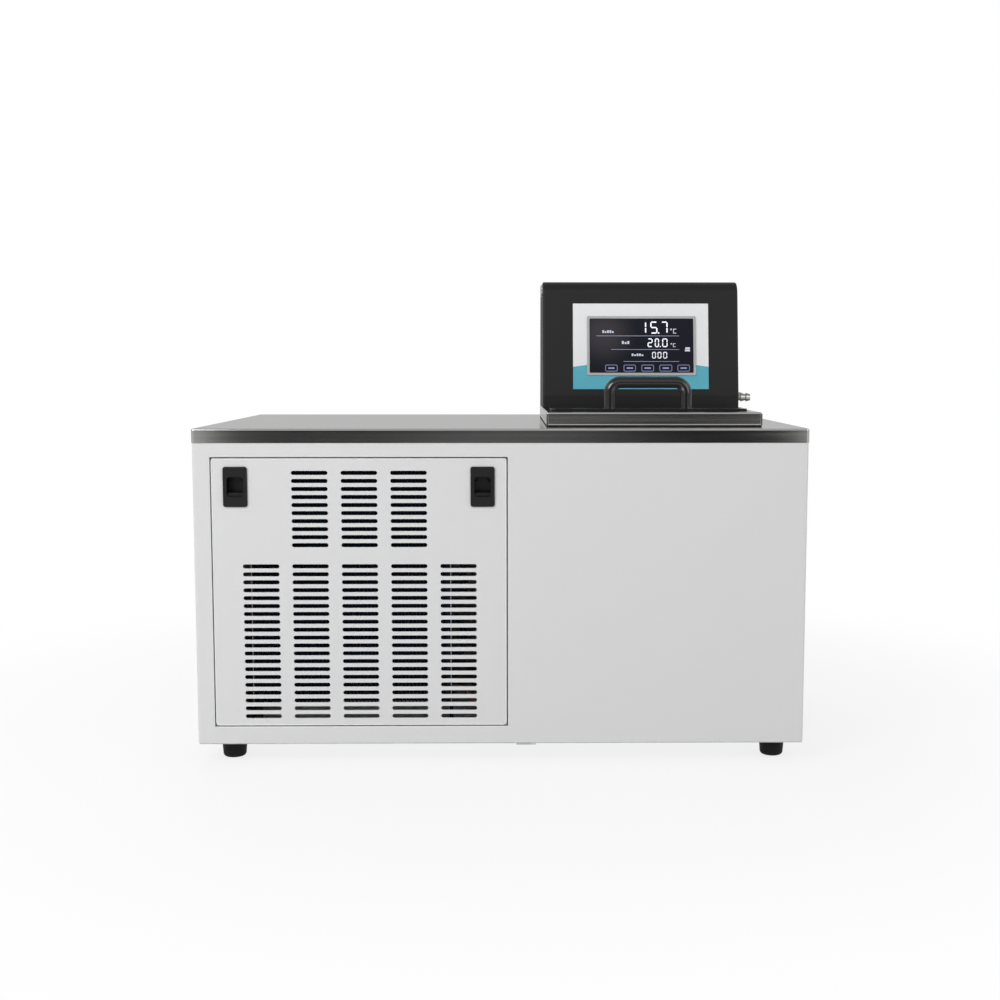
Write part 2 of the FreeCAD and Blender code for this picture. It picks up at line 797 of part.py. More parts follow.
def make_latches():
    """Flush latches: a moulded case with a finger window, and a spring-loaded slider with a bolt."""
    for word, x in zip(("left", "right"), latch_middles()):
        half_w, half_h = S.latch_width / 2, S.latch_height / 2
        z = latch_middle_z
        case = Piece("latch_case_" + word)
        bezel_front = face - S.latch_proud
        case.pad(case.rounded("front", bezel_front, x - half_w, x + half_w, z - half_h, z + half_h,
                              S.latch_corner), S.latch_proud)
        case.soften(lambda e: near(e.BoundBox.YMax, bezel_front), 1)
        inset = S.latch_lip + S.joint_gap
        case.pad(case.rectangle("front", face, x - half_w + inset, x + half_w - inset,
                                z - half_h + inset, z + half_h - inset), S.latch_depth)
        hollow_w = half_w - inset - S.latch_wall
        window_w, window_h = S.latch_window_width / 2, S.latch_window_height / 2
        hollow_low = z - half_h + inset + S.latch_wall
        hollow_high = z + window_h + 1
        cavity_front = bezel_front + S.latch_face
        cavity_back = face + S.latch_depth - S.latch_wall
        # The finger window
        case.pocket(case.rounded("front", bezel_front - 1, x - window_w, x + window_w, z - window_h,
                                 z + window_h, S.latch_window_corner), S.latch_face + 2)
        case.pocket(case.rectangle("front", cavity_front, x - hollow_w, x + hollow_w, hollow_low,
                                   hollow_high), cavity_back - cavity_front)
        bolt_front = lip_back + S.joint_gap
        bolt_back = bolt_front + S.bolt_thickness
        slot_w = S.bolt_width / 2 + S.slider_gap
        case.pocket(case.rectangle("floor", hollow_high - 1, x - slot_w, x + slot_w,
                                   bolt_front - S.slider_gap, bolt_back + S.slider_gap), S.latch_height)
        case.done()

        slide = Piece("latch_slide_" + word)
        plate_w = hollow_w - S.slider_gap
        foot = z - window_h + S.joint_gap
        shoulder = foot + S.latch_window_height / 2 + 4
        bolt_top = opening_top - S.opening_lip + S.bolt_engagement
        slide.pad(slide.outline("front", bolt_front, [
            (x - plate_w, foot), (x + plate_w, foot), (x + plate_w, shoulder),
            (x + S.bolt_width / 2, shoulder + 3), (x + S.bolt_width / 2, bolt_top),
            (x - S.bolt_width / 2, bolt_top), (x - S.bolt_width / 2, shoulder + 3),
            (x - plate_w, shoulder)]), S.bolt_thickness)
        thumb_front = cavity_front + S.slider_gap
        thumb = slide.rectangle("front", thumb_front, x - plate_w, x + plate_w, foot, foot + S.thumb_height)
        slide.pad(thumb, bolt_front - thumb_front)
        slide.soften(lambda e: runs_along(e, "X") and near(e.CenterOfMass.z, foot + S.thumb_height)
                     and near(e.CenterOfMass.y, thumb_front), S.thumb_height - 2)
        slide.done()


def make_partition():
    wall = Piece("partition")
    y0 = lip_back + 6
    y1 = rear - S.cabinet_sheet - S.rear_fold - 1
    x = partition_x
    wall.pad(wall.rectangle("side", x, y0, y1, pan_top, rim_bottom - S.cabinet_sheet), S.cabinet_sheet)
    wall.pad(wall.rectangle("floor", pan_top, x, x + S.partition_flange, y0, y1), S.cabinet_sheet)
    wall.pad(wall.rectangle("floor", rim_bottom - S.cabinet_sheet, x, x + S.partition_flange, y0, y1),
             S.cabinet_sheet, -1)
    holes = wall.sketch("side", x - 1)
    for y, z in coil_ends():
        wall.circle("side", x - 1, y, z, S.line_hole_radius, holes)
    wall.pocket(holes, S.cabinet_sheet + 2)
    wall.done()


# Tank

def make_worktop():
    top = Piece("worktop")
    top.pad(top.rounded("floor", rim_bottom, -half_width, half_width, front, back, S.rim_corner),
            S.rim_height)
    top.soften(lambda e: near(e.BoundBox.ZMin, deck), S.rim_bend)
    top.hollow(lambda f: near(f.BoundBox.ZMax, rim_bottom), S.worktop_sheet)
    top.pocket(top.rounded("floor", deck + 1, tank_left, tank_right, tank_y0, tank_y1, S.tank_corner),
               S.worktop_sheet + 2, -1)
    top.done()


def make_bath_tank():
    tank = Piece("bath_tank")
    wall = S.tank_sheet
    outer_corner = S.tank_corner + wall
    tank.pad(tank.rounded("floor", tank_floor - wall, tank_left - wall, tank_right + wall, tank_y0 - wall,
                          tank_y1 + wall, outer_corner), S.tank_depth + wall)
    tank.soften(lambda e: near(e.BoundBox.ZMax, tank_floor - wall), S.tank_floor_bend)
    tank.hollow(lambda f: near(f.BoundBox.ZMin, tank_top), wall)
    flange = tank.rectangle("floor", tank_top, tank_left - S.tank_flange, tank_right + S.tank_flange,
                            tank_y0 - S.tank_flange, tank_y1 + S.tank_flange)
    tank.pad(flange, wall, -1)
    tank.pocket(tank.rounded("floor", tank_top + 1, tank_left, tank_right, tank_y0, tank_y1, S.tank_corner),
                wall + 2, -1)
    holes = tank.sketch("side", tank_left - wall - 1)
    for y, z in coil_ends():
        tank.circle("side", tank_left - wall - 1, y, z, S.coil_radius + S.joint_gap, holes)
    tank.pocket(holes, wall + 2)
    tank.pocket(tank.circle("floor", tank_floor + 1, drain_x, drain_inlet_y, S.drain_radius + S.joint_gap),
                wall + 2, -1)
    tank.done()


drain_x = half_width - S.drain_from_right
drain_inlet_y = tank_y1 - 60


def coil_ends():
    """Where the coil passes through the tank's left wall: the height of its first and last run."""
    y = tank_y1 - S.tank_corner - 14
    low = tank_floor + 36
    return (y, low), (y, low + S.coil_pitch * 5)


def make_insulation():
    foam = Piece("tank_insulation")
    gap = S.joint_gap
    out = S.tank_sheet + S.foam_thickness
    top = tank_top - S.tank_sheet - gap
    bottom = tank_floor - out
    foam.pad(foam.rectangle("floor", bottom, tank_left - out, tank_right + out, tank_y0 - out, tank_y1 + out),
             top - bottom)
    near_tank = S.tank_sheet + gap
    foam.pocket(foam.rounded("floor", tank_floor - near_tank, tank_left - near_tank, tank_right + near_tank,
                             tank_y0 - near_tank, tank_y1 + near_tank, S.tank_corner + near_tank),
                S.tank_depth + 2)
    holes = foam.sketch("side", tank_left - out - 1)
    for y, z in coil_ends():
        foam.circle("side", tank_left - out - 1, y, z, S.coil_radius + 1, holes)
    foam.pocket(holes, out + 2)
    foam.pocket(foam.circle("floor", tank_floor, drain_x, drain_inlet_y, S.drain_radius + 1), out + 1, -1)
    foam.done()


def make_cradle():
    """An inverted U of folded sheet that carries the foam jacket."""
    cradle = Piece("tank_cradle")
    out = S.tank_sheet + S.foam_thickness
    top = tank_floor - out - S.joint_gap
    left = tank_left - out + 4
    right = tank_right + out - 4
    wall = S.cradle_sheet
    cradle.pad(cradle.outline("front", tank_y0, [
        (left, pan_top), (left + 20, pan_top), (left + 20, pan_top + wall), (left + wall, pan_top + wall),
        (left + wall, top - wall), (right - wall, top - wall), (right - wall, pan_top + wall),
        (right - 20, pan_top + wall), (right - 20, pan_top), (right, pan_top), (right, top), (left, top)]),
        S.tank_length)
    cradle.pocket(cradle.circle("floor", top + 1, drain_x, drain_inlet_y, S.drain_radius + 3), wall + 2, -1)
    cradle.done()


# Cover, lid and handle

def make_cover():
    cover = Piece("cover_tray")
    y0, y1 = cover_y, cover_back_y
    cover.pad(cover.rectangle("floor", cover_bottom, cover_left, cover_right, y0, y1), S.cover_rise)
    cover.soften(upright, S.cover_bend)
    cover.soften(lambda e: near(e.BoundBox.ZMin, cover_top), S.cover_bend)
    cover.hollow(lambda f: near(f.BoundBox.ZMax, cover_bottom), S.cover_sheet)
    over = S.lid_overlap
    cover.pocket(cover.rounded("floor", cover_top + 1, S.cover_centre - S.lid_width / 2 + over,
                               S.cover_centre + S.lid_width / 2 - over, lid_y + over,
                               lid_back_y - over, S.lid_corner), S.cover_sheet + 2, -1)
    holes = cover.sketch("floor", cover_top + 1)
    cover.circle("floor", cover_top + 1, pump_x, pump_y, S.shaft_radius + 2, holes)
    for x, y in bath_passages():
        cover.circle("floor", cover_top + 1, x, y, S.tube_radius + S.joint_gap, holes)
    for x, y in heater_legs():
        cover.circle("floor", cover_top + 1, x, y, S.heater_radius + S.joint_gap, holes)
    cover.circle("floor", cover_top + 1, probe_x, probe_y, S.probe_radius + S.joint_gap, holes)
    cover.pocket(holes, S.cover_sheet + 2, -1)
    cover.done()


def make_gaskets():
    gasket = Piece("tray_gasket")
    inset = S.gasket_inset
    y0, y1 = cover_y + inset, cover_back_y - inset
    ring = gasket.rectangle("floor", deck, cover_left + inset, cover_right - inset, y0, y1)
    wide = S.gasket_width
    gasket.rectangle("floor", deck, cover_left + wide, cover_right - wide, y0 + wide - inset,
                     y1 - wide + inset, ring)
    gasket.pad(ring, S.gasket_height)
    gasket.done()

    seal = Piece("hood_gasket")
    wall = S.hood_sheet + 1
    ring = seal.rectangle("floor", cover_top, hood_left, hood_right, hood_y, hood_back_y)
    seal.rectangle("floor", cover_top, hood_left + wall, hood_right - wall, hood_y + wall,
                   hood_back_y - wall, ring)
    seal.pad(ring, S.hood_gasket_height)
    seal.done()

    lid_seal = Piece("lid_seal")
    x0, x1 = S.cover_centre - S.lid_width / 2, S.cover_centre + S.lid_width / 2
    y0, y1 = lid_y, lid_back_y
    lid_seal.pad(lid_seal.rounded("floor", cover_top, x0, x1, y0, y1, S.lid_corner), S.seal_height)
    wide = S.seal_width
    lid_seal.pocket(lid_seal.rounded("floor", cover_top - 1, x0 + wide, x1 - wide, y0 + wide, y1 - wide,
                                     S.lid_corner - 2), S.seal_height + 2)
    lid_seal.done()


def make_lid():
    """A stainless plate, and the ring welded below it that drops into the working opening."""
    lid = Piece("bath_lid")
    x0, x1 = S.cover_centre - S.lid_width / 2, S.cover_centre + S.lid_width / 2
    y0, y1 = lid_y, lid_back_y
    bottom = cover_top + S.seal_height
    lid.pad(lid.rounded("floor", bottom, x0, x1, y0, y1, S.lid_corner), S.lid_sheet)
    lid.soften(lambda e: near(e.BoundBox.ZMin, bottom + S.lid_sheet), S.lid_sheet / 2)
    holes = lid.sketch("floor", bottom - 1)
    for x in handle_legs():
        lid.circle("floor", bottom - 1, x, handle_y, S.handle_screw_radius + S.joint_gap, holes)
    lid.pocket(holes, S.lid_sheet + 2)
    lid.done()

    ring = Piece("lid_skirt")
    out = S.lid_overlap + S.lid_play
    inner = out + S.cover_sheet
    ring.pad(ring.rounded("floor", bottom, x0 + out, x1 - out, y0 + out, y1 - out, S.lid_corner - 1),
             S.lid_skirt, -1)
    ring.pocket(ring.rounded("floor", bottom + 1, x0 + inner, x1 - inner, y0 + inner, y1 - inner,
                             S.lid_corner - 2.5), S.lid_skirt + 2, -1)
    ring.done()


handle_y = front + S.handle_front
handle_foot = cover_top + S.seal_height + S.lid_sheet


def handle_legs():
    return S.cover_centre - S.handle_pitch / 2, S.cover_centre + S.handle_pitch / 2


def make_handle():
    left, right = handle_legs()
    top = handle_foot + S.handle_height - S.handle_radius
    bar = tube("handle_bar", [(left, handle_y, handle_foot), (left, handle_y, top), (right, handle_y, top),
                              (right, handle_y, handle_foot)], S.handle_radius, S.handle_bend)
    screw_depth = 12
    bores = [rod("handle_bore_%d" % k, S.handle_screw_radius, screw_depth, x, handle_y, handle_foot)
             for k, x in enumerate((left, right))]
    keep("lid_handle", cut("handle", bar, *bores))
    head = S.handle_screw_radius * 1.8
    under = cover_top + S.seal_height
    parts = []
    for k, x in enumerate((left, right)):
        parts.append(rod("handle_shank_%d" % k, S.handle_screw_radius - 0.1, S.lid_sheet + 11, x, handle_y,
                         under))
        parts.append(rod("handle_head_%d" % k, head, 3, x, handle_y, under - 3))
    keep("handle_screws", fuse("handle_screw_group", *parts))


# Control hood

def hood_profile(inset):
    """The hood's side outline: skirt, leaning front, flat top and upright back, moved inwards by a wall."""
    slope = tangent(S.hood_lean)
    rise = hood_top - lean_start
    y0, y1 = hood_y + inset, hood_back_y
    return [(y0, hood_bottom), (y0, lean_start), (y0 + slope * (rise - inset), hood_top - inset),
            (y1, hood_top - inset), (y1, hood_bottom)]


def make_hood():
    """Skirt, leaning front, top bend and both sides as one folded and welded sheet, open below and behind."""
    hood = Piece("control_hood")
    hood.pad(hood.outline("side", hood_left, hood_profile(0)), S.hood_width)
    hood.soften(lambda e: runs_along(e, "X") and near(e.CenterOfMass.z, hood_top)
                and e.CenterOfMass.y < hood_back_y.number - 5, S.hood_bend)
    hood.soften(lambda e: runs_along(e, "X") and near(e.CenterOfMass.z, lean_start), S.hood_bend)
    hood.soften(lambda e: (near(e.CenterOfMass.x, hood_left) or near(e.CenterOfMass.x, hood_right))
                and e.CenterOfMass.y < hood_back_y.number - 1 and e.CenterOfMass.z > hood_bottom.number + 1,
                S.hood_corner)
    hood.hollow(lambda f: near(f.BoundBox.ZMax, hood_bottom) or near(f.BoundBox.YMin, hood_back_y),
                S.hood_sheet)
    holes = hood.sketch("side", hood_left - 1)
    hood.circle("side", hood_left - 1, button_y, button_z, S.button_barrel_radius + S.joint_gap, holes)
    hood.pocket(holes, S.hood_sheet + 4)
    holes = hood.sketch("side", hood_right + 1)
    for y in nozzle_rows():
        hood.circle("side", hood_right + 1, y, nozzle_z, S.nozzle_radius + 1 + S.joint_gap, holes)
    hood.pocket(holes, S.hood_sheet + 4, -1)
    hood.done()


button_y = hood_y + S.button_behind_front
button_z = hood_top - S.button_below_top
nozzle_z = cover_top + S.nozzle_height


def nozzle_rows():
    first = hood_y + S.nozzle_behind_front
    return first, first + S.nozzle_pitch


def make_hood_back():
    """Rear cover of the hood, set between its sides, with cooling slots."""
    plate = Piece("hood_back")
    gap = S.hood_sheet + S.joint_gap
    x0, x1 = hood_left + gap, hood_right - gap
    top = hood_top - gap
    wall = S.cabinet_sheet
    y = hood_back_y
    plate.pad(plate.rectangle("front", y, x0, x1, hood_bottom, top), wall, -1)
    folds = plate.rectangle("front", y - wall, x0, x1, hood_bottom, top)
    plate.rectangle("front", y - wall, x0 + wall, x1 - wall, hood_bottom + wall, top - wall, folds)
    plate.pad(folds, S.rear_fold, -1)
    first = plate.long_slot("front", y - wall - 1, S.cover_centre, top - 40, S.vent_length, S.vent_height)
    slot = plate.pocket(first, wall + 2)
    plate.grid(slot, first, S.hood_vent_columns, S.vent_length, S.hood_vent_rows, S.vent_pitch)
    plate.done()


def on_front(name, width, height, thickness, centre_up, shift, corner):
    """A plate that lies on the hood's leaning front, measured up the slope from the skirt's bend."""
    plate = Piece(name)
    plate.pad(plate.rounded("front", 0, shift - width / 2, shift + width / 2, centre_up - height / 2,
                            centre_up + height / 2, corner), thickness, -1)
    return plate


def stand_on_front(plate, lift, label=None):
    lean = FreeCAD.Rotation(Vector(1, 0, 0), -number(S.hood_lean))
    turn = math.radians(number(S.hood_lean))
    y = hood_y - lift * math.cos(turn)
    z = lean_start + lift * math.sin(turn)
    place(plate.body, S.cover_centre, y, z)
    plate.body.Placement = FreeCAD.Placement(plate.body.Placement.Base, lean)
    plate.body.setExpression("Placement.Rotation.Angle", S.hood_lean.formula)
    plate.body.setExpression("Placement.Rotation.Axis.x", "-1")
    return keep(label or plate.name, plate.body)


label_middle = S.label_from_bend + S.label_height / 2
bezel_middle = S.label_from_bend + S.bezel_above_label + S.bezel_height / 2


def make_display():
    label = on_front("display_label", S.label_width, S.label_height, S.label_thickness, label_middle, 0,
                     S.label_corner)
    stand_on_front(label, 0)
    bezel = on_front("display_bezel", S.bezel_width, S.bezel_height, S.bezel_thickness, bezel_middle,
                     S.bezel_shift, S.bezel_corner)
    frame = S.bezel_frame
    bezel.pocket(bezel.rounded("front", 0, S.bezel_shift - S.bezel_width / 2 + frame,
                               S.bezel_shift + S.bezel_width / 2 - frame,
                               bezel_middle - S.bezel_height / 2 + frame,
                               bezel_middle + S.bezel_height / 2 - frame, S.bezel_corner),
                 S.bezel_thickness + 1, -1)
    stand_on_front(bezel, S.label_thickness)
    screen = on_front("display_screen", S.bezel_width - frame * 2 - S.joint_gap * 2,
                      S.bezel_height - frame * 2 - S.joint_gap * 2, S.bezel_thickness - S.screen_sink,
                      bezel_middle, S.bezel_shift, S.bezel_corner - S.joint_gap)
    stand_on_front(screen, S.label_thickness)


def make_board():
    """Controller board behind the display, on posts that meet the hood's front from inside."""
    board = Piece("control_board")
    x0, x1 = S.bezel_shift - S.bezel_width / 2, S.bezel_shift + S.bezel_width / 2
    z0, z1 = bezel_middle - S.bezel_height / 2, bezel_middle + S.bezel_height / 2
    board.pad(board.rectangle("front", S.board_gap, x0, x1, z0, z1), S.board_thickness)
    posts = board.sketch("front", 0)
    for x in (x0 + 6, x1 - 6):
        for z in (z0 + 6, z1 - 6):
            board.circle("front", 0, x, z, S.post_radius, posts)
    board.pad(posts, S.board_gap)
    parts = board.sketch("front", S.board_gap + S.board_thickness)
    board.rectangle("front", 0, x0 + 20, x0 + 46, z0 + 14, z0 + 52, parts)
    board.rectangle("front", 0, x1 - 60, x1 - 30, z0 + 20, z0 + 44, parts)
    board.pad(parts, 12)
    stand_on_front(board, -S.hood_sheet - 0.05)


def make_power_button():
    """A metal push button in the hood's left side: collar and barrel, with a sprung cap."""
    case = Piece("power_button_case")
    bore = S.button_cap_radius + 0.3
    inside = S.button_barrel_length
    case.turn(case.outline("floor", 0, [
        (-S.button_collar, bore), (-S.button_collar, S.button_radius - 0.6),
        (-S.button_collar + 0.6, S.button_radius),
        (0, S.button_radius), (0, S.button_barrel_radius), (inside, S.button_barrel_radius),
        (inside, 0), (inside - 3, 0), (inside - 3, bore)]), "H_Axis")
    case.done(hood_left, button_y, button_z)
    cap = Piece("power_button_cap")
    cap_back = S.button_travel + 8
    cap.turn(cap.outline("floor", 0, [
        (-S.button_collar - 0.9, 0), (-S.button_collar - 0.9, S.button_cap_radius - 1),
        (-S.button_collar - 0.4, S.button_cap_radius), (cap_back, S.button_cap_radius),
        (cap_back, 0)]), "H_Axis")
    cap.done(hood_left, button_y, button_z)


def make_nozzles():
    """Barbed hose nozzles through the hood's right side."""
    for name, y in zip(("outlet_nozzle", "return_nozzle"), nozzle_rows()):
        nozzle = Piece(name)
        r, crest, bore = S.nozzle_radius, S.nozzle_barb_radius, S.nozzle_bore_radius
        tip = S.nozzle_reach
        inside = -S.hood_sheet - 12
        nozzle.turn(nozzle.outline("floor", 0, [
            (inside, bore), (tip, bore), (tip, r), (tip - 6, crest), (tip - 6, r), (tip - 8, r),
            (tip - 14, crest), (tip - 14, r), (4, r), (4, S.nozzle_flange_radius),
            (0, S.nozzle_flange_radius), (0, r + 1), (inside, r + 1)]), "H_Axis")
        nozzle.done(hood_right, y, nozzle_z)


def make_hood_screws():
    parts = []
    y = hood_back_y
    for k, (x, z) in enumerate(((hood_left + 8, hood_bottom + 14), (hood_right - 8, hood_bottom + 14),
                                (hood_left + 8, hood_top - 14), (hood_right - 8, hood_top - 14))):
        parts.append(rod("hood_screw_%d" % k, S.rear_screw_radius, S.screw_head_height, x, y, z, "Y"))
    keep("hood_screws", fuse("hood_screw_group", *parts))


# Pump and what hangs in the bath

pump_x = S.cover_centre - S.motor_left_of_centre
pump_y = hood_y + S.motor_behind_front
pump_top = cover_under - S.pump_depth
probe_x = S.cover_centre + 96
probe_y = hood_y + 40


def bath_passages():
    """Where the outlet and return tubes come through the cover."""
    return tuple((S.cover_centre + 70, y) for y in nozzle_rows())


def heater_legs():
    return (S.cover_centre + 10, hood_y + 52), (S.cover_centre + 10, hood_y + 52 + 60)


def make_pump():
    motor = Piece("pump_motor")
    r, lift, high = S.motor_radius, S.motor_lift, S.motor_height
    boss = 14
    bore = S.shaft_radius + S.shaft_gap
    motor.turn(motor.outline("front", 0, [
        (bore, 0), (boss, 0), (boss, lift), (r - 4, lift), (r, lift + 4), (r, high - 6), (r - 6, high),
        (boss, high), (boss, high + 3), (0, high + 3), (0, lift + 30), (bore, lift + 30)]))
    feet = motor.sketch("floor", 0)
    for x, y in ((-r + 10, 0), (r - 10, 0), (0, -r + 10), (0, r - 10)):
        motor.circle("floor", 0, x, y, 4, feet)
    motor.pad(feet, lift + 6)
    motor.done(pump_x, pump_y, cover_top)

    shaft = Piece("pump_shaft")
    drop = cover_top - pump_top + S.pump_wall + 2
    rise = lift + 24
    shaft.pad(shaft.circle("floor", -drop, 0, 0, S.shaft_radius), drop + rise)
    hub_top = S.pump_height - S.pump_wall * 2 - 4
    disc = shaft.circle("floor", -drop - hub_top, 0, 0, S.impeller_radius)
    shaft.pad(disc, 2)
    shaft.pad(shaft.circle("floor", -drop - hub_top, 0, 0, 9), hub_top)
    vane = shaft.outline("floor", -drop - hub_top + 1, [
        (7, -1.2), (S.impeller_radius - 1, 5), (S.impeller_radius - 2, 7.5),
        (7, 1.2)])
    first = shaft.pad(vane, hub_top - 2)
    ring = shaft.new("PartDesign::PolarPattern", "vanes")
    ring.Originals = [first]
    ring.Axis = (vane, ["N_Axis"])
    ring.Angle = 360
    ring.Occurrences = 5
    shaft.body.Tip = ring
    shaft.done(pump_x, pump_y, cover_top)

    housing = Piece("pump_housing")
    out, wall = S.pump_radius, S.pump_wall
    low = pump_top - S.pump_height
    housing.pad(housing.circle("floor", low, 0, 0, out), S.pump_height)
    housing.pocket(housing.circle("floor", low + wall, 0, 0, out - wall), S.pump_height - wall * 2)
    housing.pocket(housing.circle("floor", low - 1, 0, 0, 10), wall + 2)
    housing.pocket(housing.circle("floor", pump_top - wall - 1, 0, 0, S.shaft_radius + 1), wall + 2)
    posts = housing.sketch("floor", pump_top)
    for x, y in ((-out + 8, 0), (out - 8, 0)):
        housing.circle("floor", 0, x, y, S.pump_post_radius, posts)
    housing.pad(posts, cover_under - pump_top)
    # The spout at the rim feeds the outlet tube
    spout_z = low + S.pump_height / 2
    housing.pad(housing.circle("side", out - 3, 0, spout_z, S.tube_radius + 2), 10)
    housing.pocket(housing.circle("side", out - 8, 0, spout_z, S.tube_radius), 16)
    housing.done(pump_x, pump_y, 0)


def make_bath_tubes():
    (out_x, out_y), (back_x, back_y) = bath_passages()
    spout_z = pump_top - S.pump_height / 2
    start_x = pump_x + S.pump_radius + 7.2
    inner = hood_right - S.hood_sheet - 12
    bend = S.tube_radius * 2.4
    wall_radius = S.tube_radius - 0.05
    tube_out = tube("outlet_tube", [(start_x, pump_y, spout_z), (out_x, pump_y, spout_z),
                                    (out_x, out_y, spout_z), (out_x, out_y, nozzle_z),
                                    (inner, out_y, nozzle_z)],
                    wall_radius, bend)
    keep("outlet_pipe", tube_out)
    end_z = cover_under - S.return_drop
    tube_back = tube("return_tube", [(back_x, back_y, end_z), (back_x, back_y, nozzle_z),
                                     (inner, back_y, nozzle_z)], wall_radius, bend)
    keep("return_pipe", tube_back)


def make_heater_and_probe():
    (x, y0), (_, y1) = heater_legs()
    top = cover_top + 14
    bottom = cover_under - S.heater_drop
    loop = tube("heater_loop", [(x, y0, top), (x, y0, bottom), (x, y1, bottom), (x, y1, top)],
                S.heater_radius - 0.05, S.heater_radius * 3)
    heads = [block("heater_head", x - 9, x + 9, y0 - 9, y1 + 9, cover_top, cover_top + 8)]
    keep("immersion_heater", fuse("heater", loop, *heads))
    probe = Piece("temperature_probe")
    probe.turn(probe.outline("front", 0, [
        (0, -S.probe_length), (S.probe_radius - 1, -S.probe_length), (S.probe_radius, -S.probe_length + 2),
        (S.probe_radius, 0), (7, 0), (7, 10), (4, 12),
        (4, 24), (0, 24)]))
    probe.done(probe_x, probe_y, cover_top)


def make_coil():
    """A serpentine along the tank's left wall, with both ends out through that wall."""
    (y_end, low), (_, high) = coil_ends()
    x = tank_left + S.coil_from_wall
    y_far = tank_y0 + S.tank_corner + 14
    out_x = tank_left - S.tank_sheet - S.foam_thickness
    points = [(out_x, y_end, low)]
    runs = 6
    for k in range(runs):
        z = low + S.coil_pitch * k
        ends = (y_end, y_far) if k % 2 == 0 else (y_far, y_end)
        points += [(x, ends[0], z), (x, ends[1], z)]
    points.append((out_x, y_end, high))
    keep("evaporator_coil", tube("coil", points, S.coil_radius, S.coil_from_wall - 1))


# Refrigeration unit

condenser_x0 = S.condenser_left - side
condenser_x1 = condenser_x0 + S.condenser_width
condenser_y0 = front + S.condenser_front
condenser_y1 = condenser_y0 + S.condenser_depth
condenser_z0 = pan_top + S.condenser_raise
condenser_z1 = condenser_z0 + S.condenser_height
fan_x = (condenser_x0 + condenser_x1) / 2
fan_z = (condenser_z0 + condenser_z1) / 2


def make_condenser():
    """A block of fins between two end plates, with return bends outside them."""
    core = Piece("condenser")
    core.pad(core.rectangle("floor", condenser_z0, condenser_x0, condenser_x1, condenser_y0, condenser_y1),
             S.condenser_height)
    groove = S.fin_pitch - S.fin_thickness
    count = int((number(S.condenser_width) - 2 * number(S.end_plate)) // number(S.fin_pitch)) - 1
    for y0, y1 in ((condenser_y0 - 1, condenser_y0 + S.fin_relief),
                   (condenser_y1 - S.fin_relief, condenser_y1 + 1)):
        x0 = condenser_x0 + S.end_plate + S.fin_thickness
        first = core.rectangle("floor", condenser_z0 - 1, x0, x0 + groove, y0, y1)
        slot = core.pocket(first, S.condenser_height + 2)
        row = core.new("PartDesign::LinearPattern", "fins")
        row.Originals = [slot]
        row.Direction = (first, ["H_Axis"])
        bind(row, "Length", S.fin_pitch * (count - 1))
        row.Occurrences = count
        core.body.Tip = row
    plates = core.sketch("floor", pan_top)
    for x0, x1 in ((condenser_x0, condenser_x0 + S.end_plate), (condenser_x1 - S.end_plate, condenser_x1)):
        core.rectangle("floor", 0, x0, x1, condenser_y0, condenser_y1, plates)
    core.pad(plates, S.condenser_raise)
    bends = []
    pitch = S.return_bend_pitch
    y = (condenser_y0 + condenser_y1) / 2
    rows = int((number(S.condenser_height) - 30) // number(pitch))
    for k in range(rows):
        z = condenser_z0 + 15 + pitch * k
        x, out = (condenser_x0, -1) if k % 2 == 0 else (condenser_x1, 1)
        reach = x + out * 16
        points = [(x, y, z), (reach, y, z), (reach, y, z + pitch), (x, y, z + pitch)]
        bends.append(tube("return_bend_%d" % k, points, S.return_bend_radius, 12))
    core.body.Label = "condenser_core"
    keep("condenser", fuse("condenser_whole", core.body, *bends))


def make_fan():
    shroud = Piece("fan_shroud")
    y0 = condenser_y1
    shroud.pad(shroud.rectangle("front", y0, condenser_x0, condenser_x1, pan_top, condenser_z1),
               S.shroud_depth)
    wall = S.shroud_sheet
    shroud.pocket(shroud.rectangle("front", y0, condenser_x0 + wall, condenser_x1 - wall, pan_top + wall,
                                   condenser_z1 - wall), S.shroud_depth - wall)
    hole = S.fan_radius + S.fan_tip_gap
    shroud.pocket(shroud.circle("front", y0 + S.shroud_depth - wall - 1, fan_x, fan_z, hole), wall + 2)
    # Three arms hold the motor behind the blades
    plate = y0 + S.shroud_depth
    shroud.pad(shroud.rectangle("front", plate, fan_x - hole - 8, fan_x + hole + 8, fan_z - S.fan_arm / 2,
                                fan_z + S.fan_arm / 2), 3)
    shroud.pad(shroud.rectangle("front", plate, fan_x - S.fan_arm / 2, fan_x + S.fan_arm / 2,
                                fan_z - hole - 8, fan_z + hole + 8), 3)
    shroud.pocket(shroud.circle("front", plate - 1, fan_x, fan_z, S.shaft_radius + 1), 6)
    shroud.done()

    motor = Piece("fan_motor")
    r, long = S.fan_motor_radius, S.fan_motor_length
    bore = S.shaft_radius + S.shaft_gap
    motor.turn(motor.outline("floor", 0, [
        (bore, 0), (r - 6, 0), (r, 8), (r, long - 8), (r - 8, long), (0, long),
        (0, long - 12), (bore, long - 12)]))
    motor.done(fan_x, plate + 3, fan_z)

    rotor = Piece("fan_rotor")
    tail = 3 + S.fan_motor_length - 16
    hub = S.fan_hub_radius
    depth = S.fan_blade_depth
    nose = -depth - 7
    rotor.turn(rotor.outline("floor", 0, [
        (0, nose), (hub - 3, nose), (hub, nose + 3), (hub, -2), (S.shaft_radius, -2),
        (S.shaft_radius, tail), (0, tail)]))
    blades = make_blades(hub, depth)
    rotor.body.Label = "fan_hub"
    rotor_whole = fuse("fan_whole", rotor.body, *blades)
    place(rotor_whole, fan_x, plate, fan_z)
    keep("fan_rotor", rotor_whole)


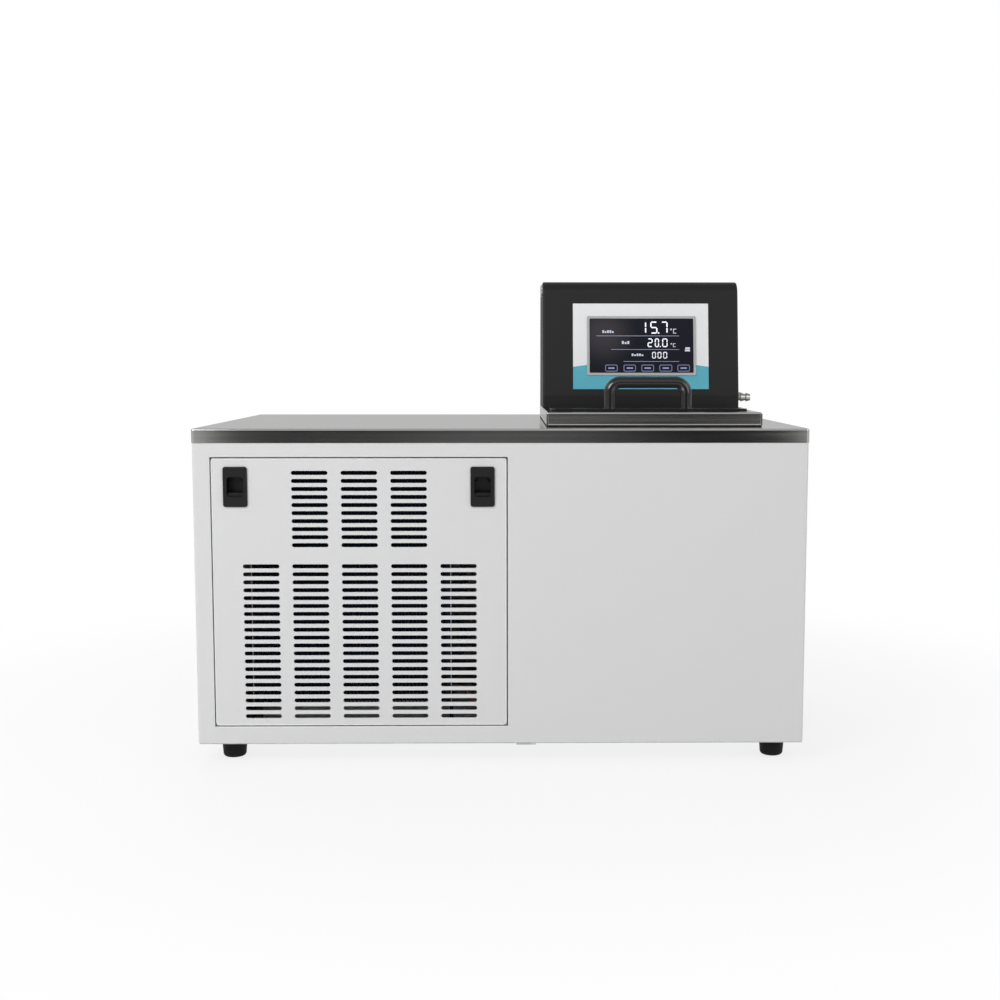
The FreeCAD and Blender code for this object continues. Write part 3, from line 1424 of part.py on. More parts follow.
def make_blades(hub, depth):
    """Five twisted blades lofted from a steep root to a flatter tip."""
    made = []
    blade_count = 5
    sections = []
    root, tip = number(hub) - 6, number(S.fan_radius)
    for radius, chord, pitch in ((root, 24, 38), ((root + tip) / 2, 46, 28), (tip, 62, 20)):
        angle = math.radians(pitch)
        along = Vector(math.cos(angle), math.sin(angle), 0)
        across = Vector(-math.sin(angle), math.cos(angle), 0)
        half = chord / 2
        middle = Vector(0, -number(depth) / 2 - 3, 0)
        corners = []
        for u, w in ((-half, 0), (0, 1.2), (half, 0), (0, -1.2)):
            point = middle + along * u + across * w
            corners.append(Vector(point.x, point.y, radius))
        sections.append(Part.makePolygon(corners + corners[:1]))
    blade = Part.makeLoft(sections, True, True)
    for k in range(blade_count):
        part = doc.addObject("Part::Feature", "fan_blade_%d" % k)
        turned = blade.copy()
        turned.rotate(Vector(0, 0, 0), Vector(0, 1, 0), 360 * k / blade_count)
        part.Shape = turned
        made.append(part)
    return made


compressor_x = S.compressor_from_left - side
compressor_y = rear - S.compressor_from_back


def make_compressor():
    body = Piece("compressor")
    r, high = S.compressor_radius, S.compressor_height
    base = S.grommet_height
    body.turn(body.outline("front", 0, [
        (0, base), (r - 16, base), (r - 2, base + 12), (r, base + 30), (r, high - 50), (r - 4, high - 28),
        (r - 22, high - 6), (r - 42, high), (0, high)]))
    plate = body.rounded("floor", base, -r - 6, r + 6, -r + 12, r - 12, 10)
    body.pad(plate, 3)
    ports = body.circle("floor", high - 12, -r + 38, 0, 5)
    body.circle("floor", high - 12, r - 38, 0, 5, ports)
    body.pad(ports, 22)
    # Terminal box on the shell's side
    body.pad(body.rectangle("front", -r - 8, -22, 22, 60, 104), 24)
    body.done(compressor_x, compressor_y, pan_top)
    parts = []
    inset_x, inset_y = r - 4, r - 22
    for k, (dx, dy) in enumerate(((-1, -1), (1, -1), (-1, 1), (1, 1))):
        parts.append(rod("grommet_%d" % k, S.grommet_radius, S.grommet_height, compressor_x + inset_x * dx,
                         compressor_y + inset_y * dy, pan_top))
    keep("compressor_grommets", fuse("grommet_group", *parts))


drier_x = partition_x - 34
drier_y = front + S.drier_from_front


def make_lines():
    """Drier and the three refrigerant lines between compressor, condenser and coil."""
    drier = Piece("filter_drier")
    r, long = S.drier_radius, S.drier_length
    drier_z = pan_top + 90
    drier.turn(drier.outline("front", 0, [
        (0, 0), (4, 0), (4, 5), (r, 14), (r, long - 14),
        (4, long - 5), (4, long), (0, long)]))
    drier.done(drier_x, drier_y, drier_z)

    comp_top = pan_top + S.compressor_height + 10
    y_mid = (condenser_y0 + condenser_y1) / 2
    bend = S.line_radius * 3
    port_x = compressor_x - S.compressor_radius + 38
    return_x = compressor_x + S.compressor_radius - 38
    # Discharge: from the top port to the upper condenser tube
    rows = int((number(S.condenser_height) - 30) // number(S.return_bend_pitch))
    last_z = condenser_z0 + 15 + S.return_bend_pitch * rows
    out_x = condenser_x0 if rows % 2 == 0 else condenser_x1
    step = -22 if rows % 2 == 0 else 22
    keep("discharge_line", tube("discharge", [
        (port_x, compressor_y, comp_top), (port_x, compressor_y, last_z + 30),
        (out_x + step, compressor_y, last_z + 30), (out_x + step, y_mid, last_z + 30),
        (out_x + step, y_mid, last_z), (out_x, y_mid, last_z)], S.line_radius, bend))
    (end_y, low), (_, high) = coil_ends()
    coil_out = tank_left - S.tank_sheet - S.foam_thickness
    first_z = condenser_z0 + 15
    keep("liquid_line", tube("liquid", [
        (drier_x, drier_y, drier_z + long), (drier_x, drier_y, low), (drier_x, end_y, low),
        (coil_out, end_y, low)], S.thin_line_radius, bend))
    keep("suction_line", tube("suction", [
        (coil_out, end_y, high), (drier_x - 30, end_y, high), (drier_x - 30, compressor_y, high),
        (return_x, compressor_y, high), (return_x, compressor_y, comp_top)], S.line_radius, bend))
    keep("condenser_line", tube("condenser_out", [
        (condenser_x1, y_mid, first_z), (condenser_x1 + 22, y_mid, first_z),
        (condenser_x1 + 22, y_mid, pan_top + 40), (drier_x, y_mid, pan_top + 40),
        (drier_x, drier_y, pan_top + 40),
        (drier_x, drier_y, drier_z)], S.thin_line_radius, bend))


# Rear fittings

def make_inlet():
    """Appliance inlet with its flange on the rear wall and three blades in its well."""
    inlet = Piece("power_inlet")
    x = half_width - S.drain_from_right * 2
    z = S.drain_height
    half_w, half_h = S.inlet_width / 2, S.inlet_height / 2
    inlet.pad(inlet.rounded("front", rear, x - half_w, x + half_w, z - half_h, z + half_h, 3), 3)
    inlet.pad(inlet.rectangle("front", rear, x - half_w + 4.3, x + half_w - 4.3, z - half_h + 2.3,
                              z + half_h - 2.3), S.inlet_depth, -1)
    well_w, well_h = 12.5, 8.5
    inlet.pocket(inlet.outline("front", rear + 4, [
        (x - well_w, z - well_h), (x + well_w, z - well_h), (x + well_w, z + well_h - 5),
        (x + well_w - 5, z + well_h), (x - well_w + 5, z + well_h), (x - well_w, z + well_h - 5)]), 20, -1)
    blades = inlet.sketch("front", rear - 16.5)
    for bx, bz in ((-7, -2), (0, 2), (7, -2)):
        inlet.rectangle("front", 0, x + bx - 1, x + bx + 1, z + bz - 2, z + bz + 2, blades)
    inlet.pad(blades, 12)
    inlet.done()


def make_rear_screws():
    parts = []
    wide = inner_side - 14
    levels = (pan_top + 12, rim_bottom - 14)
    k = 0
    for x in (-wide, 0, wide):
        for z in levels:
            parts.append(rod("rear_screw_%d" % k, S.rear_screw_radius, S.screw_head_height, x, rear, z, "Y"))
            k += 1
    keep("rear_screws", fuse("rear_screw_group", *parts))


def make_drain():
    """Drain: a pipe from the tank's floor to a ball valve with a quarter-turn lever outside the rear wall."""
    z = S.drain_height
    pipe = tube("drain_tube", [(drain_x, drain_inlet_y, tank_floor), (drain_x, drain_inlet_y, z),
                               (drain_x, rear, z)], S.drain_radius, S.drain_radius * 2.5)
    keep("drain_pipe", pipe)
    valve = Piece("drain_valve")
    bore = S.spout_bore_radius
    r, long = S.valve_radius, S.valve_length
    end = long + S.spout_length
    valve.turn(valve.outline("floor", 0, [
        (bore, 14), (bore, end), (S.spout_radius, end), (S.spout_radius, long),
        (r - 3, long), (r - 3, long - 5), (r, long - 7), (r, 7), (r - 3, 5),
        (r - 3, 0.3), (0, 0.3), (0, 14)]))
    # Stem boss on top of the body
    stem_y = long / 2
    valve.pad(valve.circle("floor", r - 3, 0, stem_y, S.stem_radius + 3), 7)
    valve.pocket(valve.circle("floor", r, 0, stem_y, S.stem_radius + S.shaft_gap), 8)
    valve.done(drain_x, rear, z)
    lever = Piece("drain_lever")
    top = r + 4.3
    lever.pad(lever.circle("floor", r + 0.3, 0, 0, S.stem_radius), top - r + 2)
    half = S.lever_width / 2
    lever.pad(lever.rounded("floor", top, -half, S.lever_length - half, -half, half, half - 0.5),
              S.lever_thickness)
    lever.done(drain_x, rear + stem_y, z)


make_base_pan()
make_feet()
make_cabinet_shell()
make_rear_panel()
make_louvre_panel()
make_latches()
make_partition()
make_worktop()
make_bath_tank()
make_insulation()
make_cradle()
make_cover()
make_gaskets()
make_lid()
make_handle()
make_hood()
make_hood_back()
make_display()
make_board()
make_power_button()
make_nozzles()
make_hood_screws()
make_pump()
make_bath_tubes()
make_heater_and_probe()
make_coil()
make_condenser()
make_fan()
make_compressor()
make_lines()
make_inlet()
make_rear_screws()
make_drain()
doc.recompute()

# Nothing is written unless every object is sound
for thing in doc.Objects:
    if "Invalid" in thing.State or "Error" in thing.State:
        raise RuntimeError("%s failed: %s" % (thing.Name, thing.State))
for name, piece in pieces.items():
    if piece.Shape.isNull() or not piece.Shape.isValid():
        raise RuntimeError("%s has no sound shape" % name)
for name, piece in pieces.items():
    piece.Shape.exportStep("parts/%s.step" % name)
print("%d sub-parts written" % len(pieces))
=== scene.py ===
import math

import bmesh
import bpy
from mathutils import Matrix, Vector


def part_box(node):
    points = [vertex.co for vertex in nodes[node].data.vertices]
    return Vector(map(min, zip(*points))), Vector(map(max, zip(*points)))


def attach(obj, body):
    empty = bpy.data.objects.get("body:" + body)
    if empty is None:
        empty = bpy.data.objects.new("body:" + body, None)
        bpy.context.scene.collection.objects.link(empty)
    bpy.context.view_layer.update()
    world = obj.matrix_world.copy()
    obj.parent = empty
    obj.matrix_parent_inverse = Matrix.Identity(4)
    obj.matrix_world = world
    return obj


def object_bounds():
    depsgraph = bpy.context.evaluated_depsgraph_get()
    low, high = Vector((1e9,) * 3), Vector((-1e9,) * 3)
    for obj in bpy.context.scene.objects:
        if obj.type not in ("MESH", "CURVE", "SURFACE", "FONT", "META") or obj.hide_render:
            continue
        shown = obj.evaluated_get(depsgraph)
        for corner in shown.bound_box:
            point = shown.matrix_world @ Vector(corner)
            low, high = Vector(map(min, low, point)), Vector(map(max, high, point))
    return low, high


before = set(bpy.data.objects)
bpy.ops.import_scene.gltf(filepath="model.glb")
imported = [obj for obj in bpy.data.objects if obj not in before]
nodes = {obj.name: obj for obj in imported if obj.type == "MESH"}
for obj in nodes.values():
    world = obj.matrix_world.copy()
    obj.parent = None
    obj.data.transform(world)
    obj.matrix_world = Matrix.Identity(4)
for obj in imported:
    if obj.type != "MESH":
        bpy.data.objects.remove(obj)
cad_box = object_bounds()
MM = 0.001


# Shader expressions

class Wire:
    """A value or colour on its way through a material, with arithmetic that adds Math nodes."""

    def __init__(self, recipe, socket):
        self.recipe = recipe
        self.socket = socket

    def maths(self, operation, *terms):
        """One Math node."""
        inputs = {k: term for k, term in enumerate(terms)}
        return self.recipe.node("ShaderNodeMath", {"operation": operation}, inputs)

    def __add__(self, other):
        return self.maths("ADD", self, other)

    def __radd__(self, other):
        return self.maths("ADD", other, self)

    def __sub__(self, other):
        return self.maths("SUBTRACT", self, other)

    def __rsub__(self, other):
        return self.maths("SUBTRACT", other, self)

    def __mul__(self, other):
        return self.maths("MULTIPLY", self, other)

    def __rmul__(self, other):
        return self.maths("MULTIPLY", other, self)

    def __abs__(self):
        return self.maths("ABSOLUTE", self)

    def clamp(self):
        return self.recipe.node("ShaderNodeClamp", {}, {"Value": self})

    def power(self, exponent):
        return self.maths("POWER", self, exponent)

    def smooth(self, low, high):
        """0 below low and 1 above high, with a soft step between."""
        return self.recipe.node("ShaderNodeMapRange", {"interpolation_type": "SMOOTHSTEP"},
                                {"Value": self, "From Min": low, "From Max": high})


class Recipe:
    """One node tree: its nodes are added by name, settings first and then the sockets."""

    def __init__(self, name, tree=None):
        if tree is None:
            self.material = bpy.data.materials.new(name)
            self.material.use_nodes = True
            tree = self.material.node_tree
        self.tree = tree
        self.shader = tree.nodes.get("Principled BSDF")

    def node(self, kind, settings=None, inputs=None, output=0):
        """Adds one node and gives back its output."""
        made = self.tree.nodes.new(kind)
        for key, value in (settings or {}).items():
            setattr(made, key, value)
        for key, value in (inputs or {}).items():
            self.feed(made.inputs[key], value)
        return Wire(self, made.outputs[output])

    def feed(self, socket, value):
        """Links a wire to a socket, or sets a constant on it."""
        if isinstance(value, Wire):
            self.tree.links.new(value.socket, socket)
        elif socket.type == "RGBA" and len(value) == 3:
            socket.default_value = (*value, 1)
        else:
            socket.default_value = value

    def rays(self, kind):
        """1 for the rays of one kind, and 0 for all others."""
        return self.node("ShaderNodeLightPath", {}, {}, kind)

    def place(self):
        """Where the surface lies, in the object's own frame, in metres."""
        return self.node("ShaderNodeTexCoord", {}, {}, "Object")

    def parts(self, vector):
        """The three parts of a vector, as values."""
        split = self.node("ShaderNodeSeparateXYZ", {}, {"Vector": vector}).socket.node
        return [Wire(self, out) for out in split.outputs]

    def stretch(self, scale):
        """The surface's place, scaled by its own factor along each axis."""
        return self.node("ShaderNodeMapping", {}, {"Vector": self.place(), "Scale": scale})

    def noise(self, scale, detail=3, roughness=0.55, vector=None):
        """Smooth noise from 0 to 1, with about this many waves a metre."""
        return self.node("ShaderNodeTexNoise", {}, {"Vector": vector or self.place(), "Scale": scale,
                                                    "Detail": detail, "Roughness": roughness})

    def blend(self, mask, under, over):
        """The colour under, covered by over where the mask is 1."""
        inputs = {"Factor": mask, "A": under, "B": over}
        return self.node("ShaderNodeMix", {"data_type": "RGBA"}, inputs, "Result")

    def bump(self, height, strength, distance):
        """A normal that follows a height from 0 to 1, which stands for this distance in metres."""
        return self.node("ShaderNodeBump", {}, {"Strength": strength, "Distance": distance, "Height": height})

    def finish(self, **sockets):
        """Feeds the surface shader's sockets and gives back the material."""
        names = {"color": "Base Color", "rough": "Roughness", "metal": "Metallic", "normal": "Normal",
                 "coat": "Coat Weight", "specular": "Specular IOR Level", "glow": "Emission Color",
                 "glow_strength": "Emission Strength"}
        for key, value in sockets.items():
            self.feed(self.shader.inputs[names[key]], value)
        return self.material


# Finishes

def powder_coat(name, colour, tone, rough, grain, specular=0.5):
    """Sprayed powder: a fine orange peel, and a tone that drifts a little over a sheet."""
    m = Recipe(name)
    drift = m.noise(2.2, 2)
    peel = m.noise(grain, 2)
    speck = m.noise(60, 4)
    base = m.blend(drift.smooth(0.3, 0.7), colour, [c * tone for c in colour])
    return m.finish(color=m.blend(speck.smooth(0.68, 0.8) * 0.2, base, [c * 0.93 for c in colour]),
                    rough=rough + (speck - 0.5) * 0.12, normal=m.bump(peel, 0.1, 0.0002), specular=specular)


def brushed(name, colour, along, rough, contrast=0.16, fine=420, level=None, edge=1.0):
    """Stainless sheet brushed along one axis, and across it on its ends.

    Where it looks up its roughness is level, and on every other face its colour is darkened by the factor
    edge, a painted shade on the sheet's sides and edges.
    """
    m = Recipe(name)
    facing = m.parts(m.node("ShaderNodeNewGeometry", {}, {}, "Normal"))
    end_face = abs(facing["XYZ".index(along)]).smooth(0.6, 0.8)
    across = "Y" if along == "X" else "X"
    along_stroke = 4

    def strokes(axis, coarser, detail, roughness):
        scale = [fine * coarser] * 3
        scale["XYZ".index(axis)] = along_stroke * coarser
        return m.noise(1, detail, roughness, m.stretch(scale))

    grain = strokes(along, 1, 3, 0.6) * (1 - end_face) + strokes(across, 1, 3, 0.6) * end_face
    wide = strokes(along, 0.12, 2, 0.5) * (1 - end_face) + strokes(across, 0.12, 2, 0.5) * end_face
    smudge = m.noise(7, 3)
    lines = grain * 0.65 + wide * 0.35
    dark = [c * (1 - contrast) for c in colour]
    sheen = (lines - 0.5) * 0.16 + (smudge - 0.5) * 0.06
    if level is None:
        return m.finish(color=m.blend(lines.smooth(0.35, 0.65), dark, colour), metal=1.0,
                        rough=rough + sheen, normal=m.bump(lines, 0.05, 0.0002))
    # Faces that don't look up are darkened by the factor edge: painted shade on the sides and edges.
    up = facing[2].smooth(0.9, 0.99)
    bright = m.blend(up, [c * edge for c in colour], colour)
    dull = m.blend(up, [c * edge for c in dark], dark)
    return m.finish(color=m.blend(lines.smooth(0.35, 0.65), dull, bright), metal=1.0,
                    rough=(rough + sheen * 0.6) * (1 - up) + up * (sheen * 0.35 + level),
                    normal=m.bump(lines * (1 - up), 0.05, 0.0002))


def turned_metal(name, colour, rough):
    """Lathe-turned or drawn metal with a faint fine grain."""
    m = Recipe(name)
    grain = m.noise(1, 2, 0.5, m.stretch((300, 300, 2600)))
    stain = m.noise(40, 3)
    base = m.blend(stain.smooth(0.45, 0.75) * 0.35, colour, [c * 0.72 for c in colour])
    return m.finish(color=base, metal=1.0, rough=rough + (grain - 0.5) * 0.14,
                    normal=m.bump(grain, 0.05, 0.0001))


def moulded(name, colour, rough, coat=0.0, specular=0.5):
    """Moulded plastic with a spark-eroded grain."""
    m = Recipe(name)
    grain = m.noise(1600, 2)
    worn = m.noise(35, 4)
    return m.finish(color=m.blend(worn.smooth(0.55, 0.8) * 0.5, colour, [c * 1.5 + 0.004 for c in colour]),
                    rough=rough + (worn - 0.5) * 0.12, coat=coat, normal=m.bump(grain, 0.08, 0.0001),
                    specular=specular)


def rubber(name):
    """Dull black rubber with fine pores and a little dust."""
    m = Recipe(name)
    dust = m.noise(55, 5)
    pores = m.noise(1300, 2)
    return m.finish(color=m.blend(dust.smooth(0.55, 0.8), (0.009, 0.009, 0.009), (0.022, 0.021, 0.020)),
                    rough=0.62 + (dust - 0.5) * 0.2, normal=m.bump(pores, 0.15, 0.0002), specular=0.15)


def copper_tube(name):
    """Drawn copper with a brown film in places."""
    m = Recipe(name)
    film = m.noise(22, 5)
    return m.finish(color=m.blend(film.smooth(0.4, 0.7), (0.55, 0.27, 0.17), (0.20, 0.10, 0.07)), metal=1.0,
                    rough=0.28 + film * 0.2, normal=m.bump(film, 0.05, 0.0002))


def zinc_sheet(name):
    """Galvanised sheet with its crystal spangle."""
    m = Recipe(name)
    spangle = m.node("ShaderNodeTexVoronoi", {}, {"Vector": m.place(), "Scale": 90}, "Color")
    value = m.parts(spangle)[0]
    return m.finish(color=m.blend(value, (0.46, 0.47, 0.48), (0.60, 0.61, 0.62)), metal=1.0,
                    rough=0.38 + value * 0.12)


def foam(name):
    """Open yellow foam."""
    m = Recipe(name)
    cells = m.noise(260, 4)
    return m.finish(color=m.blend(cells, (0.80, 0.70, 0.42), (0.88, 0.80, 0.55)), rough=0.85,
                    normal=m.bump(cells, 0.4, 0.0008))


WHITE = (0.79, 0.79, 0.795)
STEEL = (0.60, 0.595, 0.585)

look = {
    "white_coat": powder_coat("white_powder_coat", WHITE, tone=0.985, rough=0.42, grain=1500),
    # The hems' white is paler than the coat's own white: a painted highlight along the panel's edges.
    "painted_highlight_white": powder_coat("hem_painted_highlight", (0.97, 0.97, 0.975), tone=0.985, rough=0.22,
                              grain=1500, specular=0.9),
    "black_coat": powder_coat("black_powder_coat", (0.0060, 0.0058, 0.0068), tone=0.85, rough=0.50,
                              grain=1800, specular=0.34),
    "worktop_steel": brushed("worktop_brushed_steel", STEEL, "X", rough=0.09, contrast=0.14, level=0.14),
    "cover_steel": brushed("cover_brushed_steel", (0.58, 0.575, 0.56), "X", rough=0.14, contrast=0.2,
                           fine=300, level=0.10),
    # The lid's sides and edges are darkened to 0.12 of its colour: painted shade.
    "lid_steel": brushed("lid_brushed_steel", (0.58, 0.575, 0.565), "X", rough=0.14, contrast=0.14,
                         level=0.10, edge=0.12),
    "tank_steel": brushed("tank_steel", (0.62, 0.62, 0.61), "Z", rough=0.3),
    "bright_steel": turned_metal("turned_steel", (0.66, 0.66, 0.655), rough=0.22),
    "satin_nickel": turned_metal("satin_nickel", (0.40, 0.39, 0.37), rough=0.2),
    "bead": turned_metal("bead_metal", (0.05, 0.05, 0.05), rough=0.4),
    "brass": turned_metal("brass", (0.80, 0.62, 0.30), rough=0.3),
    "copper": copper_tube("copper_tube"),
    "zinc": zinc_sheet("galvanised_sheet"),
    "black_plastic": moulded("black_moulding", (0.007, 0.007, 0.008), rough=0.42, specular=0.28),
    "silver_frame": moulded("silver_moulding", (0.50, 0.50, 0.51), rough=0.38),
    "black_gloss": moulded("glossy_black_moulding", (0.004, 0.004, 0.004), rough=0.10, coat=0.6,
                           specular=0.4),
    "red_plastic": moulded("red_grip", (0.50, 0.02, 0.02), rough=0.35, coat=0.2),
    "black_enamel": moulded("black_enamel", (0.014, 0.014, 0.014), rough=0.25, coat=0.4),
    "rubber": rubber("black_rubber"),
    "foam": foam("yellow_foam"),
    "fins": moulded("blue_coated_fins", (0.006, 0.012, 0.032), rough=0.42, specular=0.15),
    "board": moulded("green_laminate", (0.03, 0.16, 0.06), rough=0.4),
}

# The solids that each finish goes on
FINISHES = {
    "white_coat": ["cabinet_shell", "rear_panel", "louvre_panel"],
    "black_coat": ["control_hood", "hood_back"],
    "worktop_steel": ["worktop"],
    "cover_steel": ["cover_tray"],
    "lid_steel": ["bath_lid", "lid_skirt"],
    "tank_steel": ["bath_tank"],
    "bright_steel": ["power_button_case", "power_button_cap", "outlet_pipe", "return_pipe", "pump_shaft",
                     "pump_housing", "immersion_heater", "temperature_probe", "evaporator_coil", "drain_pipe",
                     "handle_screws", "hood_screws", "rear_screws"],
    "satin_nickel": ["outlet_nozzle", "return_nozzle"],
    "silver_frame": ["display_bezel"],
    "brass": ["drain_valve"],
    "copper": ["filter_drier", "discharge_line", "liquid_line", "suction_line", "condenser_line"],
    "zinc": ["base_pan", "partition", "tank_cradle", "fan_shroud"],
    "black_plastic": ["latch_case_left", "latch_case_right", "latch_slide_left", "latch_slide_right",
                      "fan_rotor", "power_inlet"],
    "black_gloss": ["lid_handle"],
    "red_plastic": ["drain_lever"],
    "black_enamel": ["compressor", "fan_motor", "pump_motor"],
    "rubber": ["tray_gasket", "lid_seal", "hood_gasket", "compressor_grommets", "foot_front_left",
               "foot_front_right", "foot_rear_left", "foot_rear_right"],
    "foam": ["tank_insulation"],
    "fins": ["condenser"],
    "board": ["control_board"],
}


def dress(node, material):
    """Gives a solid its one material."""
    mesh = nodes[node].data
    mesh.materials.clear()
    mesh.materials.append(material)


for finish_name, members in FINISHES.items():
    for node in members:
        dress(node, look[finish_name])


# The hood's leaning front, measured from the screen that lies on it

LEAN = math.radians(9)
screen_low, screen_high = (Vector(c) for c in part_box("display_screen"))
SCREEN_DEPTH = 1.1 * MM
slope_up = Vector((0, math.sin(LEAN), math.cos(LEAN)))
slope_out = Vector((0, -math.cos(LEAN), math.sin(LEAN)))
screen_foot = Vector(((screen_low.x + screen_high.x) / 2, screen_low.y,
                      screen_low.z + SCREEN_DEPTH * math.sin(LEAN)))


def slope_heights(m):
    """Across and up the hood's front, in millimetres from the middle of the screen's lower edge."""
    x, y, z = m.parts(m.place())
    across = (x - screen_foot.x) * (1 / MM)
    up = ((y - screen_foot.y) * math.sin(LEAN) + (z - screen_foot.z) * math.cos(LEAN)) * (1 / MM)
    return across, up


def label_print():
    """White film with a teal field that rises to a shallow arc, and a fine grain."""
    m = Recipe("label_film")
    across, up = slope_heights(m)
    crown, crown_across, droop, soft_edge = 16.4, -1.0, 0.00078, 0.3
    off_crown = across - crown_across
    arc = crown - off_crown * off_crown * droop
    teal = (arc - up).smooth(-soft_edge, soft_edge)
    grain = m.noise(900, 2)
    deep = m.noise(9, 2)
    blue = m.blend(deep.smooth(0.35, 0.65), (0.105, 0.47, 0.60), (0.125, 0.51, 0.63))
    return m.finish(color=m.blend(teal, (0.95, 0.955, 0.97), blue), rough=0.34 + (grain - 0.5) * 0.1,
                    normal=m.bump(grain, 0.04, 0.0001))


def screen_surface():
    """Dark display with a soft paler patch of painted light towards the upper left."""
    m = Recipe("display_surface")
    across, up = slope_heights(m)
    # The paler patch towards the upper left is painted light on the screen.
    patch_across, patch_up, patch_core, patch_edge = -55.0, 58.0, 4, 54
    beside, above = across - patch_across, up - patch_up
    far = (beside * beside + above * above).power(0.5)
    patch = 1 - far.smooth(patch_core, patch_edge)
    grain = m.noise(700, 2)
    base = m.blend(patch, (0.0045, 0.006, 0.0135), (0.052, 0.047, 0.054))
    return m.finish(color=m.blend(grain * 0.1, base, (0.02, 0.02, 0.04)), rough=0.14 + grain * 0.06,
                    specular=0.18)


dress("display_label", label_print())
dress("display_screen", screen_surface())


# Lit segments on the display, measured in millimetres from the hood's middle and from its lower bend

SCREEN_MIDDLE = 1.0
SCREEN_FOOT = 33.3
PRINT_THICKNESS = 0.05 * MM
LIT_THICKNESS = 0.06 * MM


def on_slope(across, up):
    """A point on the hood's leaning front."""
    sideways = Vector((1, 0, 0)) * (across - SCREEN_MIDDLE) * MM
    upward = slope_up * (up - SCREEN_FOOT) * MM
    return screen_foot + sideways + upward


def solid(name, build, material, body="cabinet"):
    """A piece from mesh code that rides on a body."""
    bm = bmesh.new()
    build(bm)
    bmesh.ops.recalc_face_normals(bm, faces=bm.faces)
    mesh = bpy.data.meshes.new(name)
    bm.to_mesh(mesh)
    bm.free()
    mesh.materials.append(material)
    piece = bpy.data.objects.new(name, mesh)
    bpy.context.scene.collection.objects.link(piece)
    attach(piece, body)
    return piece


def slab(bm, corners, direction, thickness):
    """A flat plate with the given corners, thickened along a direction."""
    low = [bm.verts.new(c) for c in corners]
    high = [bm.verts.new(Vector(c) + direction * thickness) for c in corners]
    bm.faces.new(low)
    bm.faces.new(list(reversed(high)))
    for k in range(len(corners)):
        following = (k + 1) % len(corners)
        bm.faces.new([low[k], low[following], high[following], high[k]])


def segment(bm, start, end, width):
    """One lit bar with pointed ends."""
    (u0, v0), (u1, v1) = start, end
    long = math.hypot(u1 - u0, v1 - v0)
    du, dv = (u1 - u0) / long, (v1 - v0) / long
    half = width / 2
    outline = [(0, 0), (half, half), (long - half, half), (long, 0), (long - half, -half), (half, -half)]
    corners = [on_slope(u0 + a * du - b * dv, v0 + a * dv + b * du) for a, b in outline]
    slab(bm, corners, slope_out, LIT_THICKNESS)


# The bars that each figure lights, lettered clockwise from its top bar, with g in the middle
SEGMENTS = {"0": "abcdef", "1": "bc", "2": "abged", "5": "afgcd", "7": "abc"}


def digit(bm, figure, left, bottom, wide, high, stroke):
    """One figure made of lit bars, whose box runs through the middle of its strokes."""
    right, top, middle = left + wide, bottom + high, bottom + high / 2
    gap = stroke * 0.12
    ends = {"a": ((left, top), (right, top)), "b": ((right, middle), (right, top)),
            "c": ((right, bottom), (right, middle)), "d": ((left, bottom), (right, bottom)),
            "e": ((left, bottom), (left, middle)), "f": ((left, middle), (left, top)),
            "g": ((left, middle), (right, middle))}
    for key in SEGMENTS[figure]:
        (u0, v0), (u1, v1) = ends[key]
        flat = v0 == v1
        shift = (gap, 0) if flat else (0, gap)
        segment(bm, (u0 + shift[0], v0 + shift[1]), (u1 - shift[0], v1 - shift[1]), stroke)


def bar(bm, u0, u1, v0, v1):
    """A flat printed rectangle."""
    corners = [on_slope(u, v) for u, v in ((u0, v0), (u1, v0), (u1, v1), (u0, v1))]
    slab(bm, corners, slope_out, PRINT_THICKNESS)


def key_outline(bm, u0, u1, v0, v1, line, corner):
    """A ring with round corners, as printed round a touch key."""
    corner_steps = 4

    def loop(inset):
        points = []
        radius = corner - inset * 1.5
        for cu, cv, start in ((u1 - corner, v1 - corner, 0), (u0 + corner, v1 - corner, 90),
                              (u0 + corner, v0 + corner, 180), (u1 - corner, v0 + corner, 270)):
            for k in range(corner_steps + 1):
                a = math.radians(start + 90 / corner_steps * k)
                points.append((cu + radius * math.cos(a), cv + radius * math.sin(a)))
        return points

    outer, inner = loop(0), loop(line)
    for k in range(len(outer)):
        j = (k + 1) % len(outer)
        corners = [on_slope(*point) for point in (outer[k], outer[j], inner[j], inner[k])]
        slab(bm, corners, slope_out, PRINT_THICKNESS)


def lit(name, colour, strength):
    """Print that glows evenly."""
    m = Recipe(name)
    flicker = m.noise(300, 2)
    shade = m.blend(flicker * 0.3, colour, [c * 0.85 for c in colour])
    return m.finish(color=shade, glow=shade, glow_strength=strength, rough=0.4)


def figures(bm, marks, bottom, high, stroke):
    """Figures by their left and right strokes."""
    for figure, left, right in marks:
        digit(bm, figure, left, bottom + stroke / 2, right - left, high - stroke, stroke)


def boxes(bm, spans):
    """Rectangles by their left, right, lower and upper edges."""
    for span in spans:
        bar(bm, *span)


def word(bm, u0, u1, v0, v1, blocks):
    """A printed word, drawn as a row of plain blocks, some of them lower."""
    pitch, height = (u1 - u0) / blocks, v1 - v0
    block_share, foot_share, lower_share = 0.72, 0.12, 0.3
    for k in range(blocks):
        left = u0 + pitch * k
        drop = lower_share * height if k % 3 == 1 else 0
        bar(bm, left, left + pitch * block_share, v0 + foot_share * height, v1 - drop)


def readings(bm):
    """Three rows of figures, with the points in the upper two."""
    figures(bm, (("1", -1.0, 7.2), ("5", 15.0, 23.6), ("7", 30.6, 38.5)), 90.7, 18.0, 1.9)
    figures(bm, (("2", 10.6, 16.5), ("0", 21.2, 26.0), ("0", 32.0, 38.4)), 70.9, 12.8, 1.5)
    figures(bm, (("0", 17.0, 21.4), ("0", 25.0, 29.4), ("0", 33.2, 37.8)), 54.2, 9.6, 1.1)
    boxes(bm, ((24.9, 27.1, 90.7, 92.8), (27.7, 29.3, 70.9, 72.4)))


